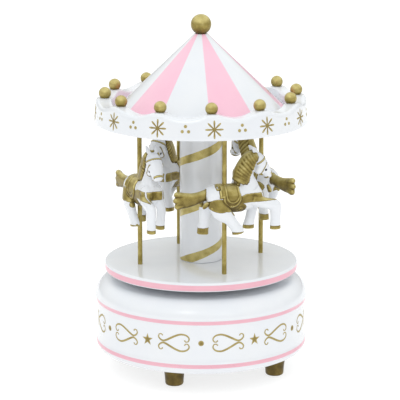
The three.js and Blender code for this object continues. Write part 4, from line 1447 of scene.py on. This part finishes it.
    @staticmethod
    def raw_mesh(limbs: Sequence[Limb], name: str) -> bpy.types.Mesh:
        """Skins limbs into one mesh of separate shells."""
        draft = Draft()
        for limb in limbs:
            limb.add_to(draft)
        return draft.mesh(name)

    def fused(self, limbs: Sequence[Limb]) -> bpy.types.Mesh:
        """Fuses limbs into one skin on the sculpting grid."""
        raw = self.raw_mesh(limbs, "horse_blank")
        blank = bpy.data.objects.new("horse_blank", raw)
        bpy.context.scene.collection.objects.link(blank)
        remesh = blank.modifiers.new("grid", "REMESH")
        remesh.mode = "VOXEL"
        remesh.voxel_size = self.voxel * MM
        remesh.adaptivity = 0
        graph = bpy.context.evaluated_depsgraph_get()
        mesh = bpy.data.meshes.new_from_object(blank.evaluated_get(graph))
        bpy.data.objects.remove(blank)
        return mesh

    @staticmethod
    def soften(places: np.ndarray, edges: np.ndarray, rounds: int, strength: np.ndarray) -> np.ndarray:
        """Evens a skin out by moving each point towards its neighbours.

        Args:
            places: The points.
            edges: Pairs of joined points.
            rounds: How many times to do it.
            strength: The share of the way that each point moves.

        Returns:
            The moved points.
        """
        count = np.bincount(edges.ravel(), minlength=len(places))[:, None]
        for _ in range(rounds):
            total = np.zeros_like(places)
            for axis in range(3):
                total[:, axis] = (
                    np.bincount(edges[:, 0], places[edges[:, 1], axis], len(places))
                    + np.bincount(edges[:, 1], places[edges[:, 0], axis], len(places))
                )
            places = places + strength[:, None] * (total / count - places)
        return places

    @staticmethod
    def within_oval(
        x: np.ndarray,
        z: np.ndarray,
        centre: Point2,
        radii: Point2,
        tilt: float = 0,
    ) -> np.ndarray:
        """Distance inside an oval's edge, about right near the edge, negative outside."""
        turn = math.radians(tilt)
        along = (x - centre[0]) * math.cos(turn) + (z - centre[1]) * math.sin(turn)
        across = -(x - centre[0]) * math.sin(turn) + (z - centre[1]) * math.cos(turn)
        return (1 - np.hypot(along / radii[0], across / radii[1])) * min(radii)

    @staticmethod
    def off_line(x: np.ndarray, z: np.ndarray, corners: Sequence[Point2]) -> np.ndarray:
        """Distance from a bent line."""
        best = np.full(len(x), 1e9)
        for (x0, z0), (x1, z1) in zip(corners, corners[1:]):
            length = (x1 - x0) ** 2 + (z1 - z0) ** 2
            share = np.clip(((x - x0) * (x1 - x0) + (z - z0) * (z1 - z0)) / length, 0, 1)
            best = np.minimum(best, np.hypot(x - x0 - share * (x1 - x0), z - z0 - share * (z1 - z0)))
        return best

    def harness(self, places: np.ndarray) -> tuple[np.ndarray, np.ndarray]:
        """Lays out the harness on the skin.

        Args:
            places: The skin's points, in millimetres.

        Returns:
            Distance inside the harness's edge, and how far its surface stands out.
        """
        x, y, z = places.T
        side = np.abs(y)
        flank = ease(side, 1.6, 2.6)
        flap = self.within_oval(x, z, (1.9, 38.6), (4.9, 4.9))
        seat = np.minimum(np.minimum(x + 4.6, 6.2 - x), z - 38.6)
        saddle = np.maximum(flap, seat)
        inner = np.maximum(
            self.within_oval(x, z, (2.3, 39.7), (3.4, 3.5)),
            np.minimum(np.minimum(x + 1.1, 5.7 - x), z - 39.7),
        )
        rear = self.within_oval(x, z, (-4.6, 35.2), (5.4, 3.2), -8)
        front = self.within_oval(x, z, (5.6, 32.4), (4.3, 2.8), 18)
        bridge = self.within_oval(x, z, (0.8, 34.2), (5.0, 2.3))
        blanket = np.where(side > 1.5, np.maximum.reduce([rear, front, bridge]), -1)
        middle = np.interp(x, [6.3, 9.2, 14], [37.0, 37.7, 38.0])
        strap = np.minimum(np.interp(x, [6.3, 9.2, 14], [1.8, 2.2, 2.15]) - np.abs(z - middle), x - 5.5)
        seam = np.abs(side - 4.3) - 0.28
        strap = np.where(x > 15.6, np.minimum(strap, seam), strap)
        strap = np.where(z < 46, strap, -1)
        above, gold = self.above_soles(places)
        nose = 0.5 - np.abs((x - 22.3) * 0.68 + (z - 47.45) * -0.73)
        nose = np.where((x > 17.6) & (z < 52) & (side < 2.4), nose, -1)
        brow = 0.45 - np.abs((x - 18.6) * 0.55 + (z - 55.6) * -0.83)
        brow = np.where((x > 15.6) & (z > 52.5), brow, -1)
        cheek = 0.3 - self.off_line(x, z, [(20.3, 54.0), (19.5, 52.3), (18.3, 50.2), (17.1, 48.6)])
        chin = 0.45 - self.off_line(x, z, [(17.1, 48.6), (17.7, 48.7), (20.8, 46.2)])
        cheek = np.where(side > 1.2, np.maximum(cheek, chin), -1)
        hard = np.maximum.reduce([saddle, blanket, strap, nose, brow, cheek])
        rise = 0.32 * ease(hard, -0.12, 0.22)
        rise += 0.3 * ease(saddle, -0.1, 0.25) * flank
        rim = np.exp(-((saddle - 0.75) / 0.3) ** 2) + np.exp(-((inner - 0.1) / 0.3) ** 2)
        rise += 0.3 * rim * flank * ease(saddle, -0.1, 0.2)
        curl = [(3.0, 31.6), (4.6, 30.9), (7.0, 31.9), (7.6, 33.0), (6.6, 33.3), (6.0, 32.6)]
        scroll = np.exp(-((self.off_line(x, z, curl) - 0.1) / 0.25) ** 2)
        rise += 0.22 * scroll * flank * (blanket > 0)
        return np.maximum(hard, gold - above), rise

    def above_soles(self, places: np.ndarray) -> tuple[np.ndarray, np.ndarray]:
        """Finds each point's own hoof.

        Args:
            places: The skin's points, in millimetres.

        Returns:
            The height above the hoof's underside, and how much of that hoof is gold.
        """
        x, y, z = places.T
        above = np.zeros(len(x))
        gold = np.zeros(len(x))
        for index, (level, share) in enumerate(self.soles):
            mine = ((y > 0) == bool(index % 2)) & ((x > 8) == (index < 2))
            above = np.where(mine, z - level, above)
            gold = np.where(mine, share, gold)
        return above, gold

    def sculpt(self) -> bpy.types.Mesh:
        """Sculpts the horse.

        Returns:
            Its mesh, in its own frame, with the paint's borders kept on its points.
        """
        gilded = self.mane_limbs() + self.tack_limbs()
        mesh = self.fused(self.body_limbs() + gilded)
        count = len(mesh.vertices)
        places = np.zeros(count * 3)
        mesh.vertices.foreach_get("co", places)
        places = places.reshape(-1, 3) / MM
        edges = np.zeros(len(mesh.edges) * 2, np.int64)
        mesh.edges.foreach_get("vertices", edges)
        edges = edges.reshape(-1, 2)
        gold_mesh = self.raw_mesh(gilded, "gold_blank")
        finder = BVHTree.FromPolygons(
            [vertex.co for vertex in gold_mesh.vertices], [face.vertices for face in gold_mesh.polygons],
        )
        away = np.array([finder.find_nearest(Vector(place * MM))[3] / MM for place in places])
        bpy.data.meshes.remove(gold_mesh)
        locks = ease(away, 0.6, 0.25)
        flat = ease(self.above_soles(places)[0], 0.35, 0.1)
        places = self.soften(places, edges, 7, 0.5 * (1 - 0.75 * locks) * (1 - flat))
        self.put(mesh, places)
        normals = np.zeros(count * 3)
        mesh.vertices.foreach_get("normal", normals)
        edge, rise = self.harness(places)
        places = places + normals.reshape(-1, 3) * (rise * (1 - locks))[:, None]
        self.put(mesh, self.soften(places, edges, 1, np.full(count, 0.25)))
        x, y, z = places.T
        self.keep(mesh, self.GILT, np.maximum(edge, 0.34 + 0.9 * ease(x, -10.5, -12.5) - away))
        eye_x, eye_z, eye_radius = self.eye
        spot = np.hypot(x - eye_x, z - eye_z)
        self.keep(mesh, self.EYE, np.where(np.abs(y) > 1.5, eye_radius - spot, -1))
        return mesh

    @staticmethod
    def put(mesh: bpy.types.Mesh, places: np.ndarray) -> None:
        """Moves a mesh's points to places in millimetres."""
        mesh.vertices.foreach_set("co", (places * MM).ravel())
        mesh.update()

    @staticmethod
    def keep(mesh: bpy.types.Mesh, name: str, values: np.ndarray) -> None:
        """Keeps a number on each of a mesh's points."""
        layer = mesh.attributes.new(name, "FLOAT", "POINT")
        layer.data.foreach_set("value", values.astype(np.float32))

    def build(self) -> None:
        """Sculpts the horse and sets it on each pole."""
        mesh = self.sculpt()
        level = top_mm("turntable")
        for number, (bearing, yaw) in enumerate(zip(self.bearings, self.yaws), 1):
            low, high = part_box(f"pole_{number}")
            place = Matrix.Translation(((low.x + high.x) / 2, (low.y + high.y) / 2, level * MM))
            place @= Matrix.Rotation(math.radians(bearing + yaw), 4, "Z")
            node = f"horse_{number}"
            Workshop.finish(f"carved_{node}", mesh, "carousel", "white_shell", [HORSE_PAINT], [node], place)


# ------------------------------------------------------------------ movement
@dataclass(frozen=True)
class Movement:
    """The frame's own pieces that stay in view, dressed in their metals and plastics."""

    finishes: dict[str, object] = field(default_factory=lambda: {
        "white_shell": WHITE, "pink_roof": PINK, "gold_paint": GOLD, "dark_gold": DARK_GOLD,
        "grey_cover": GREY, "nylon": NYLON, "bright_steel": NICKEL, "dark_steel": BLUED, "brass": BRASS,
    })

    def dress(self, loaded: dict) -> None:
        """Gives each of the frame's shown pieces its finish.

        Args:
            loaded: What the frame's loading returned.
        """
        for row in loaded["record"]["subparts"]:
            node = loaded["nodes"][row["node"]]
            node.data.materials.clear()
            node.data.materials.append(Paints.of(self.finishes[row["material_slot"]]))
            if not node.hide_render:
                LOG.info("%s keeps its shape, in %s", row["node"], row["material_slot"])


# ------------------------------------------------------------------ studio
@dataclass(frozen=True)
class Studio:
    """Camera, floor and light.

    Attributes:
        distance: Camera's distance from the turning axis, level, in metres.
        height: Camera's height in metres.
        across: Camera's place along X in metres.
        pitch: How far it looks down, in degrees.
        lens: Its focal length, in millimetres.
        sensor: Its sensor's width, in millimetres.
        floor_half: Half the floor's width, in millimetres.
        floor_grey: The floor's own colour.
        floor_glow: How bright the floor is by itself.
        zenith: The surroundings' strength from 30 degrees up to straight above.
        horizon: Their strength at the horizon and below.
        warm: Their tint at the horizon and below.
        cool: Their tint straight above.
        key: The stronger soft light's place, size and power.
        fill: The weaker soft light's place, size and power.
        aim: The height the lights are aimed at, in metres.
    """

    distance: float = 1.0
    height: float = 0.3176
    across: float = -0.0005
    pitch: float = 13.096
    lens: float = 187.23
    sensor: float = 36
    floor_half: float = 6000
    floor_grey: float = 0.35
    floor_glow: float = 0.74
    zenith: float = 1.22
    horizon: float = 0.3
    warm: Colour = (1.0, 0.985, 0.93)
    cool: Colour = (0.95, 0.985, 1.0)
    key: tuple[Point3, float, float] = ((-0.3, -1.05, 0.8), 0.35, 0.8)
    fill: tuple[Point3, float, float] = ((0.5, -1.0, 0.45), 0.3, 0.3)
    aim: float = 0.09

    def build(self) -> None:
        """Sets up the camera, the floor and the lights."""
        self.build_camera()
        self.build_floor()
        self.build_lights()

    def build_camera(self) -> None:
        """Sets up the camera."""
        camera = bpy.data.cameras.new("camera")
        camera.lens = self.lens
        camera.sensor_width = self.sensor
        camera.clip_start, camera.clip_end = 0.01, 20
        holder = bpy.data.objects.new("camera", camera)
        holder.location = (self.across, -self.distance, self.height)
        holder.rotation_euler = (math.radians(90 - self.pitch), 0, 0)
        bpy.context.scene.collection.objects.link(holder)
        bpy.context.scene.camera = holder

    def build_floor(self) -> None:
        """Lays a plain pale floor."""
        draft = Draft()
        half = self.floor_half
        draft.points = [(-half, -half, 0), (half, -half, 0), (half, half, 0), (-half, half, 0)]
        draft.add(0, 1, 2, 3)
        mesh = draft.mesh("floor")
        recipe = Recipe("pale_floor")
        recipe.set(Base_Color=(self.floor_grey,) * 3, Roughness=0.9)
        recipe.set(Emission_Color=(1.0, 1.0, 1.0), Emission_Strength=self.floor_glow)
        mesh.materials.append(recipe.material)
        floor = bpy.data.objects.new("floor", mesh)
        bpy.context.scene.collection.objects.link(floor)

    def build_lights(self) -> None:
        """Lights the piece like a white tent, brightest above, with two weak soft lights in front."""
        world = bpy.data.worlds.new("tent")
        world.use_nodes = True
        nodes, links = world.node_tree.nodes, world.node_tree.links
        background = nodes["Background"]
        place = nodes.new("ShaderNodeTexCoord")
        split = nodes.new("ShaderNodeSeparateXYZ")
        ramp = nodes.new("ShaderNodeMapRange")
        ramp.inputs["From Min"].default_value = 0.0
        ramp.inputs["From Max"].default_value = 0.5
        ramp.inputs["To Min"].default_value = self.horizon
        ramp.inputs["To Max"].default_value = self.zenith
        tint = nodes.new("ShaderNodeMix")
        tint.data_type = "RGBA"
        share, low_tint, high_tint = (tint.inputs[index] for index in (0, 6, 7))
        low_tint.default_value = (*self.warm, 1)
        high_tint.default_value = (*self.cool, 1)
        links.new(place.outputs["Generated"], split.inputs[0])
        links.new(split.outputs["Z"], share)
        links.new(tint.outputs[2], background.inputs["Color"])
        links.new(split.outputs["Z"], ramp.inputs["Value"])
        links.new(ramp.outputs["Result"], background.inputs["Strength"])
        bpy.context.scene.world = world
        self.soft_box("key", *self.key)
        self.soft_box("fill", *self.fill)
        bpy.context.scene.view_settings.view_transform = "Standard"

    def soft_box(self, name: str, place: Point3, size: float, power: float) -> None:
        """Adds one soft light aimed at the piece.

        Args:
            name: The light's name.
            place: Where it stands, in metres.
            size: Its width, in metres.
            power: Its power in watts.
        """
        light = bpy.data.lights.new(name, "AREA")
        light.shape = "DISK"
        light.size = size
        light.energy = power
        holder = bpy.data.objects.new(name, light)
        holder.location = place
        holder.rotation_mode = "QUATERNION"
        aim = Vector((0, 0, self.aim)) - Vector(place)
        holder.rotation_quaternion = aim.to_track_quat("-Z", "Y")
        bpy.context.scene.collection.objects.link(holder)


def main() -> None:
    """Builds the music box in order, from the feet up."""
    logging.basicConfig(level=logging.INFO, format="%(name)s: %(message)s")
    Base().build()
    Turntable().build()
    Canopy().build()
    Horse().build()
    Movement().dress(frame)
    Studio().build()


if __name__ == "__main__":
    main()
